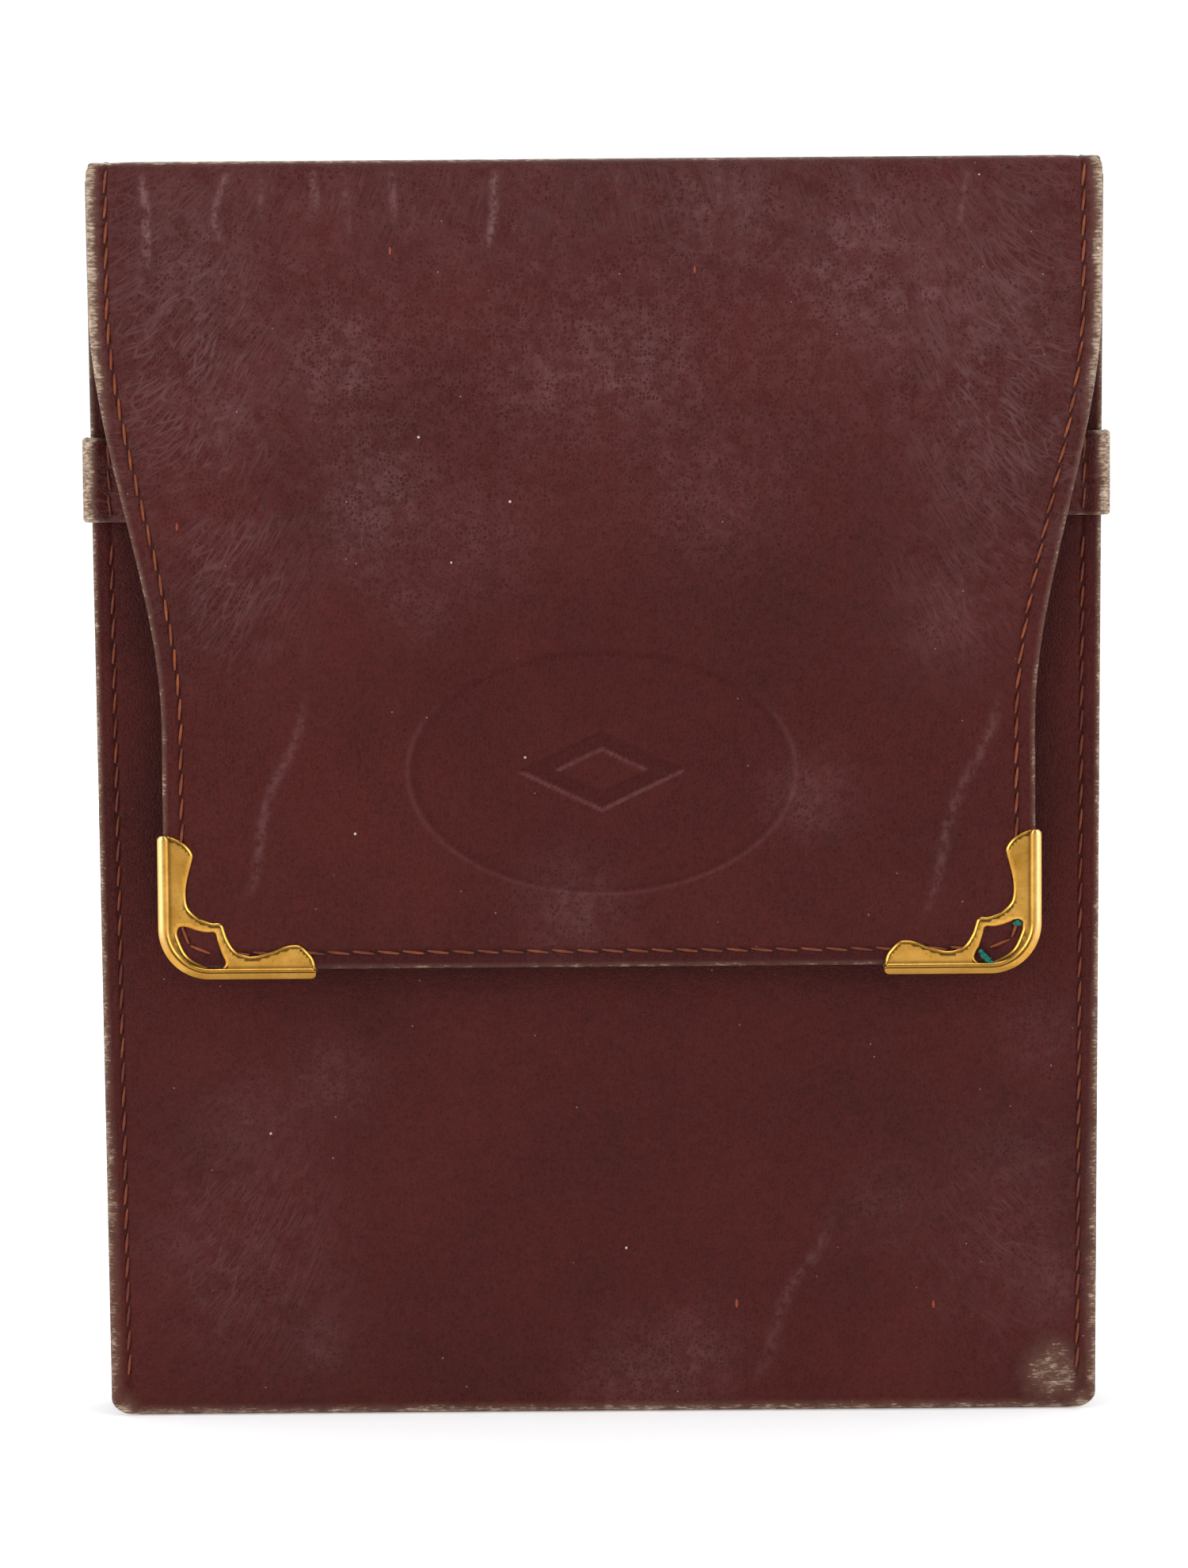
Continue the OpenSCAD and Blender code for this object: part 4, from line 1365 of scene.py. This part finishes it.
def area_light(name, place, target, width, height, power):
    data = bpy.data.lights.new(name, "AREA")
    data.shape = "RECTANGLE"
    data.size, data.size_y = width, height
    data.energy = power
    obj = added(name, data)
    obj.location = place
    obj.rotation_euler = (Vector(target) - Vector(place)).to_track_quat("-Z", "Y").to_euler()
    obj.visible_camera = False


def grey_card():
    """A grey card behind the camera, which only reflections see, so that flat faces don't turn milky."""
    verts = [(x, -0.95, z) for x, z in ((-0.75, 0.0), (0.75, 0.0), (0.75, 0.62), (-0.75, 0.62))]
    grey = Maker("studio_card_grey", rgb(84, 84, 86), Specular_IOR_Level=0.1).finish(0.9)
    card = stage_piece("studio_card", verts, [(0, 1, 2, 3)], grey)
    card.visible_camera = False
    card.visible_shadow = False


def studio():
    backdrop()
    grey_card()
    middle = (0, 0, 0.066)
    area_light("left_softbox", (-0.85, -0.50, 0.40), middle, 0.28, 0.75, 3.0)
    area_light("right_softbox", (0.85, -0.50, 0.40), middle, 0.28, 0.75, 2.3)
    area_light("top_softbox", (0.0, -0.10, 1.1), middle, 0.8, 0.5, 3.3)
    area_light("rear_softbox", (0.3, 0.95, 0.7), middle, 0.9, 0.9, 3.0)
    world = bpy.data.worlds.new("studio_air")
    world.use_nodes = True
    air = world.node_tree.nodes["Background"].inputs
    air["Color"].default_value = (1, 1, 1, 1)
    air["Strength"].default_value = 0.2
    bpy.context.scene.world = world
    bpy.context.scene.view_settings.view_transform = "Standard"


def camera():
    """Square on to the flap from slightly above, with the picture a little out of level."""
    centre = Vector((-0.0005, FRONT_Y * MM, 0.06685))
    tilt = math.radians(5)
    data = bpy.data.cameras.new("photo_camera")
    data.sensor_width = 36
    data.lens = 131.4
    distance = 0.6
    data.clip_start, data.clip_end = 0.01, 20
    obj = added("photo_camera", data)
    obj.location = centre + Vector((0, -math.cos(tilt), math.sin(tilt))) * distance
    obj.rotation_euler = (centre - obj.location).to_track_quat("-Z", "Y").to_euler()
    obj.rotation_euler.rotate_axis("Z", math.radians(-0.45))
    bpy.context.scene.camera = obj


# ---- Making it all ----
camera()
outer_leather()
linings()
boards()
pockets()
gussets()
keeper_strap()
stitching()
corner_clips()
studio()
